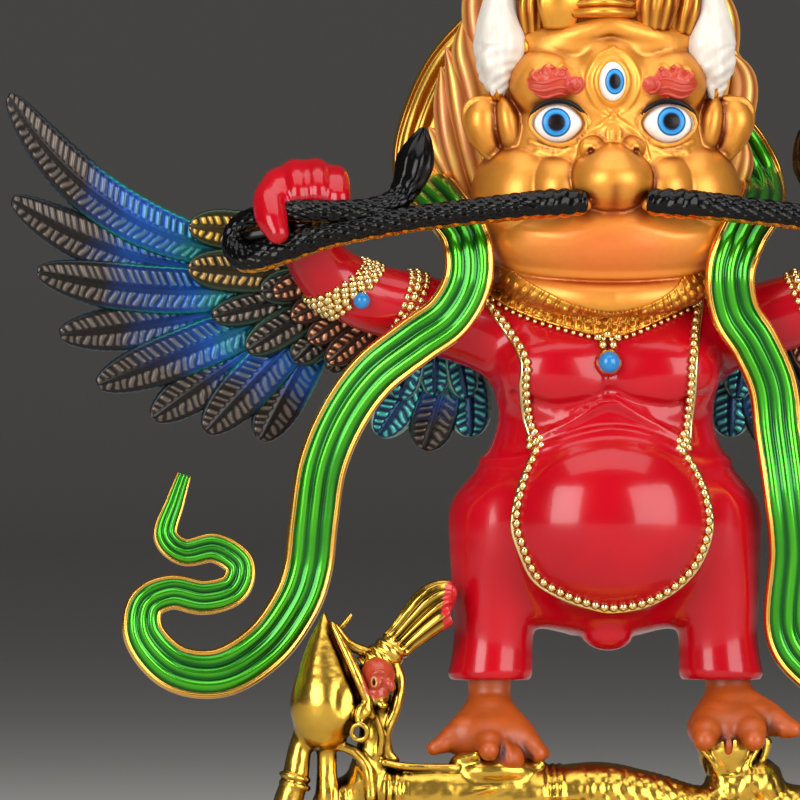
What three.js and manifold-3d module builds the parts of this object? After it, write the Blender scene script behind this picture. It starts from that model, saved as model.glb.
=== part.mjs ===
// A garuda that tramples a naga on an oval lotus plinth: a small zinc-alloy statuette, gilt and painted.
// Millimetres, +Z up. The figure faces -Y, and the origin is the middle of the flat underside.
import * as THREE from "three";
import { mergeVertices } from "three/addons/utils/BufferGeometryUtils.js";
import Module from "manifold-3d";

const wasm = await Module();
wasm.setup();

// Driving dimensions
const GAP = 0.35; // left between one casting and the next
const PLINTH = { halfWidth: 50, halfDepth: 26, height: 13.5, petals: 14, facesPerPetal: 3, swell: 0.045 };
const HIP_X = 12.5;
const HEM = { x: 17.4, y: -1, z: 36.75, radius: 5.9 };
const FOOT = { y: -4, halfWidth: 6, halfDepth: 6.4, halfHeight: 3.8, ankleRadius: 3.4 };
const BELLY = { y: -6, z: 60.75, halfWidth: 16.4, halfDepth: 12, halfHeight: 14.8 };
const BELLY_RING = { halfWidth: 14.7, halfHeight: 13.2, y: -11.2, bead: 0.75 };
const NECK_RING = { radius: 14.5, tube: 2.1, z: 93, tilt: -0.3, depthShare: 0.82 };
const SHOULDER = { x: 16, z: 88.4 };
const FIST = { x: 45.8, y: -10.5, z: 109.3, halfWidth: 6.2, halfDepth: 5, halfHeight: 5.4 };
const BEAK = { z: 111.5, halfWidth: 6.6, halfDepth: 7.4, halfHeight: 5.1 };
const EYE = { x: 8.25, y: -11, z: 120.1, halfWidth: 4.2, halfHeight: 3.3 };
const EAR = { x: 18.5, y: -3.8, z: 119.4 };
const SNAKE_RADIUS = 1.85;
const SCARF = { halfWidth: 3.75, halfThickness: 1.25 };
const WING = { y: 7.6, wrist: [-38, 97], primaries: 8, featherHalfWidth: 3.5, featherHalfThickness: 0.95 };
const LEFT = -1;
const RIGHT = 1;
const BOTH_SIDES = [LEFT, RIGHT];
const BACKWARD = new THREE.Vector3(0, 1, 0);
const UPWARD = new THREE.Vector3(0, 0, 1);
const SMALL = { sides: 6, rings: 4 };
const MEDIUM = { sides: 7, rings: 5 };
const LARGE = { sides: 9, rings: 6 };

// A closed geometry as a solid that can be joined and cut.
function solid(geometry) {
  const bare = geometry.clone();
  bare.deleteAttribute("normal");
  bare.deleteAttribute("uv");
  const merged = mergeVertices(bare, 1e-4);
  return new wasm.Manifold(
    new wasm.Mesh({
      numProp: 3,
      vertProperties: new Float32Array(merged.attributes.position.array),
      triVerts: new Uint32Array(merged.index.array),
    }),
  );
}

function join(solids) {
  return solids.reduce((whole, next) => whole.add(next));
}

// The named mesh of a solid.
function meshOf(name, shape, material) {
  const { numProp, vertProperties, triVerts } = shape.getMesh();
  const corners = new Float32Array((vertProperties.length / numProp) * 3);
  for (let i = 0; i * numProp < vertProperties.length; i++) {
    corners.set(vertProperties.subarray(i * numProp, i * numProp + 3), i * 3);
  }
  const geometry = new THREE.BufferGeometry();
  geometry.setAttribute("position", new THREE.BufferAttribute(corners, 3));
  geometry.setIndex(new THREE.BufferAttribute(triVerts, 1));
  geometry.computeVertexNormals();
  const mesh = new THREE.Mesh(geometry, material);
  mesh.name = name;
  return mesh;
}

// An ellipsoid, turned about the Y axis by `lean` radians.
function ball(centre, [rx, ry, rz], { sides = 10, rings = 7, lean = 0 } = {}) {
  const geometry = new THREE.SphereGeometry(1, sides, rings);
  geometry.rotateX(Math.PI / 2);
  geometry.scale(rx, ry, rz);
  geometry.rotateY(lean);
  geometry.translate(...centre);
  return solid(geometry);
}

// A closed bar through stations [x, y, z, half width, half depth], which runs smoothly from one to the next.
// Its depth lies along `facing`, and relief(share, angle) scales its section.
function bar(stations, { sides = 8, steps = 2, facing = BACKWARD, relief = () => 1 } = {}) {
  const path = new THREE.CatmullRomCurve3(stations.map(([x, y, z]) => new THREE.Vector3(x, y, z)));
  const size = new THREE.CatmullRomCurve3(stations.map(([, , , a, b = a]) => new THREE.Vector3(a, b, 0)));
  const spans = (stations.length - 1) * steps;
  const rings = spans + 2;
  const geometry = new THREE.SphereGeometry(1, sides, rings);
  const corners = geometry.attributes.position;
  for (let i = 0; i < corners.count; i++) {
    const ring = Math.floor(i / (sides + 1));
    const angle = ((i % (sides + 1)) % sides) * ((2 * Math.PI) / sides);
    const share = THREE.MathUtils.clamp((ring - 1) / spans, 0, 1);
    const point = path.getPoint(share);
    if (ring > 0 && ring < rings) {
      const along = path.getTangent(share);
      const depth = facing.clone().addScaledVector(along, -facing.dot(along)).normalize();
      const width = along.clone().cross(depth);
      const half = size.getPoint(share);
      const scale = relief(share, angle);
      point.addScaledVector(width, scale * half.x * Math.cos(angle));
      point.addScaledVector(depth, scale * half.y * Math.sin(angle));
    }
    corners.setXYZ(i, point.x, point.y, point.z);
  }
  return solid(geometry);
}

// The same stations on the left (-1) or right (1) of the figure.
function onSide(side, stations) {
  return stations.map(([x, ...rest]) => [side * x, ...rest]);
}

// The shape swollen by the gap, as six shifted copies, to cut a neighbour clear of it.
function withGap(shape) {
  const shifts = [-GAP, GAP].flatMap((d) => [
    [d, 0, 0],
    [0, d, 0],
    [0, 0, d],
  ]);
  return join(shifts.map((shift) => shape.translate(shift)));
}

// The largest body of a shape that a cut has left in several.
function largestBody(shape) {
  return shape.decompose().reduce((best, body) => (body.volume() > best.volume() ? body : best));
}

// The oval lotus base: a lathe turned on its round, pressed oval, its wall swelling into two rows of petals
// that are half a petal out of step.
function makePlinth() {
  const { halfWidth, halfDepth, height, petals, facesPerPetal, swell } = PLINTH;
  const profile = [
    [0, 0],
    [halfWidth, 0],
    [halfWidth, 1.8],
    [halfWidth * 0.95, 4.6],
    [halfWidth * 0.88, 6.9],
    [halfWidth * 0.93, 9.4],
    [halfWidth * 0.925, 11.6],
    [halfWidth * 0.89, height],
    [0, height],
  ];
  const points = profile.map(([r, z]) => new THREE.Vector2(r, z));
  const around = petals * facesPerPetal;
  const geometry = new THREE.LatheGeometry(points, around);
  const corners = geometry.attributes.position;
  const waistZ = 6.9;
  for (let i = 0; i < corners.count; i++) {
    const turn = Math.floor(i / points.length) % around;
    const { x: radius, y: z } = points[i % points.length];
    const step = z > waistZ ? 0.5 : 0;
    const inPetalRow = z > 2 && z < height - 0.1 && z !== waistZ;
    const petal = Math.abs(Math.sin(Math.PI * (turn / facesPerPetal + step)));
    const r = inPetalRow ? radius * (1 - swell + 1.6 * swell * petal) : radius;
    const angle = (2 * Math.PI * turn) / around;
    corners.setXYZ(i, r * Math.sin(angle), (-halfDepth / halfWidth) * r * Math.cos(angle), z);
  }
  return solid(geometry);
}

// The skull, jaw pouch, beak, lobed cheeks, eyes and brows.
function makeHead() {
  const skull = bar(
    [
      [0, 0, 93, 9.5, 8],
      [0, -0.5, 97.2, 13.6, 11],
      [0, -1, 101.5, 17.6, 13],
      [0, -1, 108, 18.6, 13.2],
      [0, -0.5, 116, 18, 12.6],
      [0, 0, 124, 16.6, 12],
      [0, 0.5, 130.5, 14.8, 11],
      [0, 1.5, 136, 11, 9],
    ],
    { sides: 12, steps: 1 },
  );
  const headband = bar(
    [
      [-13.2, -5.6, 132.7, 1.9],
      [-7, -9.2, 133, 2],
      [-0.3, -10.4, 134.4, 2.1],
      [7, -9.2, 133, 2],
      [13, -5.6, 132.7, 1.9],
    ],
    { sides: 5, steps: 1 },
  );
  const pieces = [
    skull,
    headband,
    ball([0, -6.2, 102.6], [17.6, 9.6, 7.2], LARGE),
    ball([0, -4.6, 126], [13.6, 8, 7], MEDIUM),
    ball([0, -12.4, BEAK.z], [BEAK.halfWidth, BEAK.halfDepth, BEAK.halfHeight], LARGE),
    ball([0, -13.2, BEAK.z + 3.2], [3.6, 3.8, 3.4], SMALL),
    ball([0, -11, 118.4], [3.6, 3.4, 2.7], SMALL),
    ball([0, -8.6, 126.6], [5.8, 5.2, 6.8], MEDIUM),
  ];
  for (const side of BOTH_SIDES) {
    pieces.push(
      ball([side * 7.4, -4.6, 110.2], [6.2, 10.6, 7.4], { ...MEDIUM, lean: side * 0.1 }),
      ball([side * 12.2, -2.2, 109.4], [8.4, 10.8, 9.6], { ...MEDIUM, lean: side * 0.25 }),
      ball([side * EYE.x, EYE.y, EYE.z], [EYE.halfWidth, 2.6, EYE.halfHeight], MEDIUM),
      ball([side * 8.7, -7, 126], [6.1, 5.7, 5.9], MEDIUM),
      ball([side * EAR.x, EAR.y, EAR.z], [3.4, 2.6, 5], { ...MEDIUM, lean: side * 0.25 }),
    );
  }
  return join(pieces);
}

// The two horns, which lean inward as they rise.
function makeHorn(side) {
  const stations = [
    [16.3, -6.4, 123.6, 0.8],
    [16.4, -6.2, 126.6, 2.3],
    [16, -5.6, 130.4, 3.9],
    [15.8, -5, 134.4, 3.5],
    [15.7, -4.4, 138.8, 2.5],
    [14.9, -3.6, 143.5, 1.9],
    [13.3, -3, 148, 1.3],
    [11.4, -2.4, 151.6, 0.3],
  ];
  return bar(onSide(side, stations), { sides: 6, steps: 1 });
}

// The crown: a fluted plaque over the brow with leaves that shrink to each side.
function makeCrown() {
  const leafCount = 2;
  const pieces = [
    bar(
      [
        [0, -8.4, 131.5, 4, 1.8],
        [0, -9.8, 138.6, 4.6, 1.8],
        [0, -9.2, 143, 4, 1.5],
        [0, -8.2, 147.4, 2, 1.1],
        [0, -7.6, 149.6, 0.3, 0.3],
      ],
      { sides: 6, steps: 1 },
    ),
  ];
  for (const side of BOTH_SIDES) {
    for (let i = 1; i <= leafCount; i++) {
      const x = 1.4 + 4.4 * i;
      const y = -9.6 + 0.8 * i * i;
      const bottom = 131;
      const height = 13 - 2.2 * i;
      const stations = [
        [x - 0.6, y + 1.6, bottom, 2.4, 1.8],
        [x + 0.3, y, bottom + 0.5 * height, 2.9, 1.6],
        [x + 0.9, y + 0.3, bottom + 0.85 * height, 1.5, 1],
        [x + 1.5, y + 0.8, bottom + height, 0.3, 0.3],
      ];
      pieces.push(bar(onSide(side, stations), { sides: 4, steps: 1 }));
    }
  }
  return join(pieces);
}

// The upswept flaming hair: a broad mass behind the head, grooved into locks, with lock ends at its edge.
function makeHair() {
  const locks = 7;
  const mass = bar(
    [
      [0, 4, 95, 9, 5],
      [-0.5, 6, 104, 18, 7],
      [-1, 7, 113, 21.6, 7.6],
      [-1, 7.4, 123, 23, 8],
      [-1, 7.2, 131.5, 21.6, 7.8],
      [-0.8, 7, 139.5, 17.6, 7],
      [-0.5, 6.6, 147, 11.4, 5.6],
      [0, 6.2, 152.5, 5, 3.2],
      [0, 6, 156.3, 0.5, 0.5],
    ],
    { sides: 2 * locks, steps: 1, relief: (share, angle) => 1 + 0.05 * Math.cos(locks * angle) },
  );
  const pieces = [mass];
  const lockEnds = 3;
  for (const side of BOTH_SIDES) {
    for (let i = 0; i < lockEnds; i++) {
      const z = 117 + 9.6 * i;
      const x = 20.6 - 0.32 * i * i;
      const stations = [
        [x - 4, 5, z - 5, 2.8, 2.8],
        [x + 0.6, 5.2, z + 1.5, 2.4, 2.2],
        [x + 1.2, 5, z + 8, 0.3, 0.3],
      ];
      pieces.push(bar(onSide(side, stations), { sides: 4, steps: 1 }));
    }
  }
  return join(pieces);
}

// The torso in its red coat, the chest lobes, the belly with its bead ring, and the collar.
function makeTorso() {
  const trunk = bar(
    [
      [0, 0.5, 43.9, 6, 5],
      [0, 0.5, 46, 11.5, 8.5],
      [0, 0.5, 51, 16.5, 10],
      [0, 0, 57.5, 20, 11.2],
      [0, -0.5, 64, 20.4, 11.4],
      [0, -0.8, 70, 18, 10.8],
      [0, -1, 76, 16.2, 10],
      [0, -1, 82, 17.4, 9.6],
      [0, -0.6, 88, 19, 8.8],
      [0, 0, 92, 15.5, 8],
      [0, 0, 95.5, 11, 8],
    ],
    { sides: 10, steps: 1 },
  );
  const ring = new THREE.TorusGeometry(1, 0.05, 3, 18);
  ring.rotateX(Math.PI / 2);
  ring.scale(BELLY_RING.halfWidth, BELLY_RING.bead / 0.05, BELLY_RING.halfHeight);
  ring.translate(0, BELLY_RING.y, BELLY.z);
  const collar = new THREE.TorusGeometry(NECK_RING.radius, NECK_RING.tube, 4, 14);
  collar.scale(1, NECK_RING.depthShare, 1);
  collar.rotateX(NECK_RING.tilt);
  collar.translate(0, 0, NECK_RING.z);
  const pieces = [
    trunk,
    ball([0, BELLY.y, BELLY.z], [BELLY.halfWidth, BELLY.halfDepth, BELLY.halfHeight], { sides: 12, rings: 7 }),
    solid(ring),
    solid(collar),
    ball([0, -10.8, 84.4], [1.8, 1.8, 2], SMALL),
    ball([0, -4.5, 43.4], [3.6, 3, 2.6], SMALL),
  ];
  for (const side of BOTH_SIDES) {
    pieces.push(ball([side * 7.6, -6.6, 82.4], [8.2, 5.4, 5.6], MEDIUM));
  }
  return join(pieces);
}

// Where each foot stands, and its three toes from the outer to the inner one.
const FEET = {
  [LEFT]: {
    x: -17.7,
    z: 28.2,
    toes: [
      [-26.2, -7.2, 26.8],
      [-18.6, -11.4, 26.6],
      [-10.8, -7.6, 26.3],
    ],
  },
  [RIGHT]: {
    x: 18.2,
    z: 29.2,
    toes: [
      [27.8, -7, 29.3],
      [21.2, -11.4, 28.2],
      [13.8, -11.4, 28.2],
    ],
  },
};

// A leg in red trousers, with a bird's foot of three toes below the hem.
function makeLeg(side) {
  const foot = FEET[side];
  const leg = [
    [HIP_X - 2, 0, 68.5, 7, 7.5],
    [HIP_X + 0.4, -0.3, 63.5, 9.6, 9.4],
    [14.8, -0.6, 57, 8.4, 8.8],
    [16.6, -1, 50, 6.6, 7.2],
    [17, -1, 43.5, 6.2, 6.5],
    [HEM.x, HEM.y, 39, HEM.radius + 0.2, HEM.radius + 0.4],
    [HEM.x, HEM.y, HEM.z, HEM.radius - 0.3, HEM.radius],
  ];
  const ankle = [
    [foot.x, -1.5, HEM.z + 1, FOOT.ankleRadius],
    [foot.x, -1.5, 31, FOOT.ankleRadius + 0.2],
  ];
  const pieces = [
    bar(onSide(side, leg), { sides: 9, steps: 1 }),
    bar(ankle, { sides: 5, steps: 1 }),
    ball([foot.x, FOOT.y, foot.z], [FOOT.halfWidth, FOOT.halfDepth, FOOT.halfHeight], MEDIUM),
  ];
  for (const [x, y, z] of foot.toes) {
    pieces.push(
      bar(
        [
          [foot.x, FOOT.y, foot.z + 2.4, 2.6, 2.6],
          [(x + foot.x) / 2, (y + FOOT.y) / 2, (z + foot.z) / 2 + 1.2, 2.3, 2.2],
          [x, y, z, 1.5, 1.5],
        ],
        { sides: 5, steps: 1, facing: UPWARD },
      ),
    );
  }
  return join(pieces);
}

// An arm held out and bent up at the elbow, ringed by two bead bands, with a fist whose fingers are ridges.
function makeArm(side) {
  const arm = [
    [SHOULDER.x - 3, 0, SHOULDER.z, 6.4],
    [22, -1, 90.2, 5.9],
    [27.4, -1.6, 91.8, 5.5],
    [27.7, -1.6, 91.9, 6.2],
    [31.1, -2, 92.8, 6.2],
    [31.4, -2, 92.9, 5.3],
    [35, -2.6, 94, 5.2],
    [35.3, -2.7, 94.1, 6.1],
    [39.9, -3.6, 96.3, 6],
    [40.2, -3.7, 96.5, 4.9],
    [44.6, -6.6, 100.8, 4.4],
    [FIST.x, FIST.y, 106, 4],
  ];
  const fingers = 4;
  const knuckles = (share) => 0.9 + 0.1 * Math.abs(Math.sin(fingers * Math.PI * share));
  const fist = [
    [FIST.x - FIST.halfWidth, FIST.y, FIST.z, 0.72 * FIST.halfHeight, 0.72 * FIST.halfDepth],
    [FIST.x, FIST.y, FIST.z, 1.1 * FIST.halfHeight, 1.1 * FIST.halfDepth],
    [FIST.x + FIST.halfWidth, FIST.y, FIST.z, 0.6 * FIST.halfHeight, 0.6 * FIST.halfDepth],
  ];
  return join([
    bar(onSide(side, arm), { sides: 8, steps: 1 }),
    bar(onSide(side, fist), { sides: 7, steps: fingers, relief: knuckles }),
  ]);
}

// The snake from the corner of the beak, under the fist, round in a loop and back to its raised head or tail.
function makeSnake(side) {
  const r = SNAKE_RADIUS;
  const body = [
    [4.9, -16.2, 108.3, 1.6],
    [10, -17.4, 108, r],
    [18, -17, 107.2, r],
    [27, -16.4, 106.2, r],
    [36, -16.6, 104.8, r],
    [45, -16.6, 102.9, 1.15 * r],
    [51.6, -15, 100.6, 1.2 * r],
    [55.8, -11.4, 101.4, 1.05 * r],
    [53.4, -12.4, 105.6, 0.95 * r],
    [47.4, -16.2, 106.8, r],
    [40, -16.6, 106.6, r],
    [34.2, -15.2, 107.8, r],
    [30.8, -13.8, 111.4, 1.25 * r],
    [29.4, -13.2, 115, 1.3 * r],
    [28.4, -12.8, 119.2, 0.4],
  ];
  return bar(onSide(side, body), { sides: 5, steps: 1 });
}

function makeGaruda() {
  const pieces = [makeHead(), makeCrown(), makeHair(), makeTorso()];
  for (const side of BOTH_SIDES) {
    pieces.push(makeHorn(side), makeLeg(side), makeArm(side), makeSnake(side));
  }
  return join(pieces);
}

// The scarf, hung as an arch behind the head. Each end comes forward over the arm, hangs down and curls up.
function makeScarf() {
  const { halfWidth: w, halfThickness: h } = SCARF;
  const leftArch = [
    [27.4, 9, 113, w, h],
    [26.2, 14, 120, w, h],
    [21.4, 16.6, 129.6, w, h],
    [12, 17.6, 138, w, h],
  ];
  const rightArch = [
    [24.2, 9, 112.5, w, h],
    [22.2, 12, 116.9, w, h],
    [19, 14.6, 121, w, h],
    [14.6, 16.4, 128, w, h],
    [8.6, 17.6, 136.4, w, h],
  ];
  const top = [[-1, 17.8, 141.5, w, h]];
  const leftDrop = [
    [25, -3, 108.4, w, h],
    [22, -9.2, 103.4, w, h],
    [21.6, -10.6, 97, w, h],
    [24.4, -9.9, 91.4, w, h],
    [29.4, -9.3, 87.6, w, h],
    [35.6, -8, 82.6, w, h],
    [40, -6.4, 76.4, w, h],
    [43, -5, 69, w, h],
    [44.2, -4, 61, w, h],
    [45, -3, 53.6, w, h],
  ];
  const rightDrop = [
    [23.4, -3, 108.6, w, h],
    [19.8, -10.2, 103.6, w, h],
    [17.6, -12.4, 98, w, h],
    [18.4, -11.4, 92, w, h],
    [21.6, -9.9, 87, w, h],
    [24.4, -8.4, 81, w, h],
    [25.4, -8, 74, w, h],
    [26.6, -9, 65, w, h],
    [27.6, -8, 56, w, h],
  ];
  const curl = [
    [47, -3, 48, w, h],
    [51.4, -3, 42, w, h],
    [58, -3, 38, w, h],
    [64.8, -3, 38.6, 0.95 * w, h],
    [69.4, -3, 43.2, 0.85 * w, h],
    [69.4, -3, 48, 0.75 * w, h],
    [65.6, -3, 50, 0.7 * w, h],
    [60.6, -3, 49.2, 0.7 * w, h],
    [56.2, -3.2, 50.6, 0.66 * w, h],
    [55.4, -3.2, 54.2, 0.62 * w, h],
    [59, -3.2, 56.6, 0.6 * w, h],
    [63.6, -3, 56, 0.55 * w, h],
    [66.4, -3, 58.6, 0.5 * w, h],
    [65, -3, 63.4, 0.4 * w, h],
    [63.6, -3, 67.6, 0.3 * w, 0.7 * h],
  ];
  const rightShift = { x: -19.8, z: -3.9 };
  const rightCurl = curl.map(([x, y, z, a, b]) => [x + rightShift.x, y - 3, z + rightShift.z, a, b]);
  const leftEnd = onSide(LEFT, [...leftArch.toReversed(), ...leftDrop, ...curl]);
  const rightEnd = [...rightArch.toReversed(), ...rightDrop, ...rightCurl];
  return bar([...leftEnd.toReversed(), ...top, ...rightEnd], { sides: 6, steps: 1 });
}

// One feather: a blade with a raised shaft from its root to its tip, bowed by `bow` off the straight line.
function feather(root, tip, y, halfWidth, bow = 0) {
  const [dx, dz] = [tip[0] - root[0], tip[1] - root[1]];
  const at = (share) => {
    const off = bow * 4 * share * (1 - share);
    return [root[0] + share * dx - off * dz, y, root[1] + share * dz + off * dx];
  };
  const thick = WING.featherHalfThickness;
  return bar(
    [
      [...at(0), 0.6 * halfWidth, thick],
      [...at(0.5), halfWidth, 1.1 * thick],
      [...at(0.85), 0.8 * halfWidth, 0.8 * thick],
      [...at(1), 0.15 * halfWidth, 0.4 * thick],
    ],
    { sides: 4, steps: 1 },
  );
}

// A wing spread out behind the arm: its leading edge, a fan of primaries, rows of coverts and inner feathers.
function makeWing(side) {
  const [wristX, wristZ] = WING.wrist;
  const tips = [
    [-89.4, 124.5],
    [-88.8, 108.8],
    [-85, 98],
    [-81.6, 88.6],
    [-76, 81],
    [-67.6, 76],
    [-59.7, 74],
    [-51.4, 72.7],
  ];
  const turned = ([x, z]) => [-side * x, z];
  const pieces = [];
  tips.forEach((tip, i) => {
    const share = i / (tips.length - 1);
    const angle = THREE.MathUtils.lerp(2.86, 4.15, share);
    const reach = THREE.MathUtils.lerp(11, 6, share);
    const root = [wristX + reach * Math.cos(angle), wristZ + reach * Math.sin(angle)];
    const bow = side * -0.13 * (1 - share) ** 3;
    const y = WING.y + 0.55 * (i % 2);
    pieces.push(feather(turned(root), turned(tip), y, WING.featherHalfWidth, bow));
  });
  const coverts = [
    { root: [-46, 103.2], tip: [-62.2, 104.9], halfWidth: 3.9 },
    { root: [-44.6, 98], tip: [-62.4, 98.6], halfWidth: 4.2 },
    { root: [-42, 96], tip: [-58.8, 91.2], halfWidth: 3.9 },
    { root: [-40, 94.6], tip: [-53.6, 86.2], halfWidth: 3.9 },
    { root: [-38, 93], tip: [-46.4, 84.6], halfWidth: 4 },
  ];
  coverts.forEach(({ root, tip, halfWidth }, i) => {
    pieces.push(feather(turned(root), turned(tip), WING.y - 1.7 - 0.4 * (i % 2), halfWidth));
  });
  const innerFeathers = 3;
  for (let i = 0; i < innerFeathers; i++) {
    const root = [-22 - 4 * i, 88];
    const tip = [-19.5 - 6.4 * i, 72.8 + 1.2 * i];
    pieces.push(feather(turned(root), turned(tip), WING.y + 0.5 * (i % 2), 4));
  }
  const edge = [
    [19, 8.4, 88, 4.6, 1.7],
    [27, 8.2, 88.8, 5, 1.9],
    [38, 7.8, 92.4, 5.2, 2.2],
    [48, 7.4, 98.4, 5, 2.2],
    [58, 7.4, 103.6, 2.8, 1.6],
  ];
  pieces.push(bar(onSide(side, edge), { sides: 8, steps: 1 }));
  return join(pieces);
}

// The naga lies along the plinth, its head raised at the left, its tail at the right, with a stub under each foot.
function makeNaga() {
  const bodyZ = PLINTH.height + GAP;
  const pieces = [
    bar(
      [
        [-46, -6, 19, 3.5, 3.5],
        [-38, -6.5, 19.5, 5.4, 5.4],
        [-28, -7, 19, 5.6, 6],
        [-16, -7, 18.8, 4.6, 5.2],
        [-6, -7, 18.6, 4.4, 5],
        [4, -7, 18.8, 5, 5.6],
        [16, -7, 18.6, 4.6, 5.6],
        [28, -6, 17.6, 3.9, 4.6],
        [37, -2, 16.6, 2.9, 3.6],
        [41, 4, 16.2, 2.3, 3],
        [37, 10, 15.9, 1.8, 2.2],
        [29, 12, 15.6, 1.2, 1.4],
        [22, 12, 15.5, 0.5, 0.5],
      ],
      { sides: 7, steps: 1 },
    ),
    bar(
      [
        [-42.4, -8, 46.4, 0.5],
        [-42.8, -8.4, 42.6, 2.5],
        [-43, -8.8, 38.4, 4.4],
        [-43, -8.8, 33.8, 5.2],
        [-42.4, -8.4, 30, 3.4],
      ],
      { sides: 8, steps: 1 },
    ),
    ball([-36.4, -8.8, 35.4], [3.9, 4.2, 5], { ...MEDIUM, lean: 0.35 }),
    bar(
      [
        [-38.4, -8.4, 31, 3],
        [-36.6, -8, 26, 2.8],
        [-36.4, -7, 20, 3.6],
      ],
      { sides: 6, steps: 1 },
    ),
    bar(
      [
        [-36.8, -8.2, 37.6, 2.2],
        [-34.2, -8.2, 41, 2.4],
        [-31.2, -8, 44.2, 2],
        [-27.6, -8, 48, 2.9],
        [-25, -8, 50, 2.5],
      ],
      { sides: 7, steps: 1 },
    ),
    bar(
      [
        [-44.6, -7.8, 31, 2],
        [-47.6, -8, 26, 2.2],
        [-48.5, -8.4, 19.6, 2.3],
        [-47, -9, 15.2, 1.7],
      ],
      { sides: 5, steps: 1 },
    ),
  ];
  pieces.push(ball([FEET[LEFT].x, -6, 22.4], [6.8, 5.8, 3.6], MEDIUM));
  const rightStub = [
    [FEET[RIGHT].x, -6, 26.8, 4.6],
    [FEET[RIGHT].x, -6.4, 22.6, 3.3],
    [FEET[RIGHT].x, -6.4, 18, 4.6],
  ];
  pieces.push(bar(rightStub, { sides: 7, steps: 1 }));
  const belowBody = new THREE.BoxGeometry(200, 200, 20);
  belowBody.translate(0, 0, bodyZ - 10);
  return join(pieces).subtract(solid(belowBody));
}

const gilt = new THREE.MeshStandardMaterial({ color: "#D98F2B", roughness: 0.35, metalness: 0.9 });
const redEnamel = new THREE.MeshStandardMaterial({ color: "#D8102A", roughness: 0.2, metalness: 0.2 });
const greenEnamel = new THREE.MeshStandardMaterial({ color: "#2E9E18", roughness: 0.2, metalness: 0.5 });
const featherPaint = new THREE.MeshStandardMaterial({ color: "#24507A", roughness: 0.4, metalness: 0.4 });
const polishedGilt = new THREE.MeshStandardMaterial({ color: "#E8B64C", roughness: 0.15, metalness: 1 });

const plinth = makePlinth();
const garuda = makeGaruda();
const figureClearance = withGap(garuda);
const naga = largestBody(makeNaga().subtract(figureClearance));
const scarf = largestBody(makeScarf().subtract(figureClearance).subtract(withGap(naga)));
const scarfClearance = withGap(scarf);
const [leftWing, rightWing] = BOTH_SIDES.map((side) =>
  largestBody(makeWing(side).subtract(figureClearance).subtract(scarfClearance)),
);

const statue = new THREE.Group();
statue.add(
  meshOf("plinth", plinth, gilt),
  meshOf("naga", naga, polishedGilt),
  meshOf("garuda", garuda, redEnamel),
  meshOf("scarf", scarf, greenEnamel),
  meshOf("wing_left", leftWing, featherPaint),
  meshOf("wing_right", rightWing, featherPaint),
);

export default statue;
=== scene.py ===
import math

import bpy
import numpy as np
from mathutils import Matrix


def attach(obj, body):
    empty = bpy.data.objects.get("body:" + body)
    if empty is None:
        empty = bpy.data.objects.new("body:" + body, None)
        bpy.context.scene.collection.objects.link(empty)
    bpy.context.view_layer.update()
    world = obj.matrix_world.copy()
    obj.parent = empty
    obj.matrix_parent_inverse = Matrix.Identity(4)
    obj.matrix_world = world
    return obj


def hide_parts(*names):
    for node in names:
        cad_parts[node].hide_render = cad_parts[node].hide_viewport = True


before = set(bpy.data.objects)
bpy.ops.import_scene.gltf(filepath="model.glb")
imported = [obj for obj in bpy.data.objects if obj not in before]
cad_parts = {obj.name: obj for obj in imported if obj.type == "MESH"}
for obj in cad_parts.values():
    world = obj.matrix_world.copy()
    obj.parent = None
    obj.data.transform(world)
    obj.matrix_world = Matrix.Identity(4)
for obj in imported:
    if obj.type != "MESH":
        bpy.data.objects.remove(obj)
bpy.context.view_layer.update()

import openvdb
from mathutils import Vector

# The stage. A pale floor sweeps up into a backdrop far behind, beyond a camera that looks from behind, so it reads
# dark. Soft studio lights stand left, right and above, and a long lens looks at the figure's front from a little to
# the left, as in the photograph. None of it is the object.
MM = 0.001
PHOTO_MM_PER_PIXEL = 0.15
PHOTO_PIXELS = 800
SENSOR_WIDTH = 36.0
CAMERA_AZIMUTH = math.radians(-5)
CAMERA_DISTANCE = 2.4
AIM = np.array([-0.0309, 0.0, 0.07875])


def linear(hex_colour):
    """Linear RGBA of an sRGB hex colour: c / 12.92 for dark values, else ((c + 0.055) / 1.055) ** 2.4."""
    c = np.array([int(hex_colour[i : i + 2], 16) / 255 for i in (1, 3, 5)])
    rgb = np.where(c <= 0.04045, c / 12.92, ((c + 0.055) / 1.055) ** 2.4)
    return (*rgb.tolist(), 1.0)


def fill(tree, node, inputs):
    """Sets a node's inputs, or links them where a socket is given."""
    for key, value in inputs.items():
        if isinstance(value, bpy.types.NodeSocket):
            tree.links.new(value, node.inputs[key])
        else:
            node.inputs[key].default_value = value


def add_node(tree, kind, inputs=None, **settings):
    """Adds a node, sets its settings, and fills its inputs."""
    made = tree.nodes.new(kind)
    for key, value in settings.items():
        setattr(made, key, value)
    fill(tree, made, inputs or {})
    return made


def new_material(name):
    """An empty material with a Principled shader joined to its output."""
    made = bpy.data.materials.new(name)
    made.use_nodes = True
    made.node_tree.nodes.clear()
    shader = add_node(made.node_tree, "ShaderNodeBsdfPrincipled")
    add_node(made.node_tree, "ShaderNodeOutputMaterial", {"Surface": shader.outputs["BSDF"]})
    return made, made.node_tree, shader


def plain_paint(name, colour, roughness, specular=0.5):
    """A material of one even colour."""
    material, tree, shader = new_material(name)
    fill(tree, shader, {"Base Color": linear(colour), "Roughness": roughness, "Specular IOR Level": specular})
    return material


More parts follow.
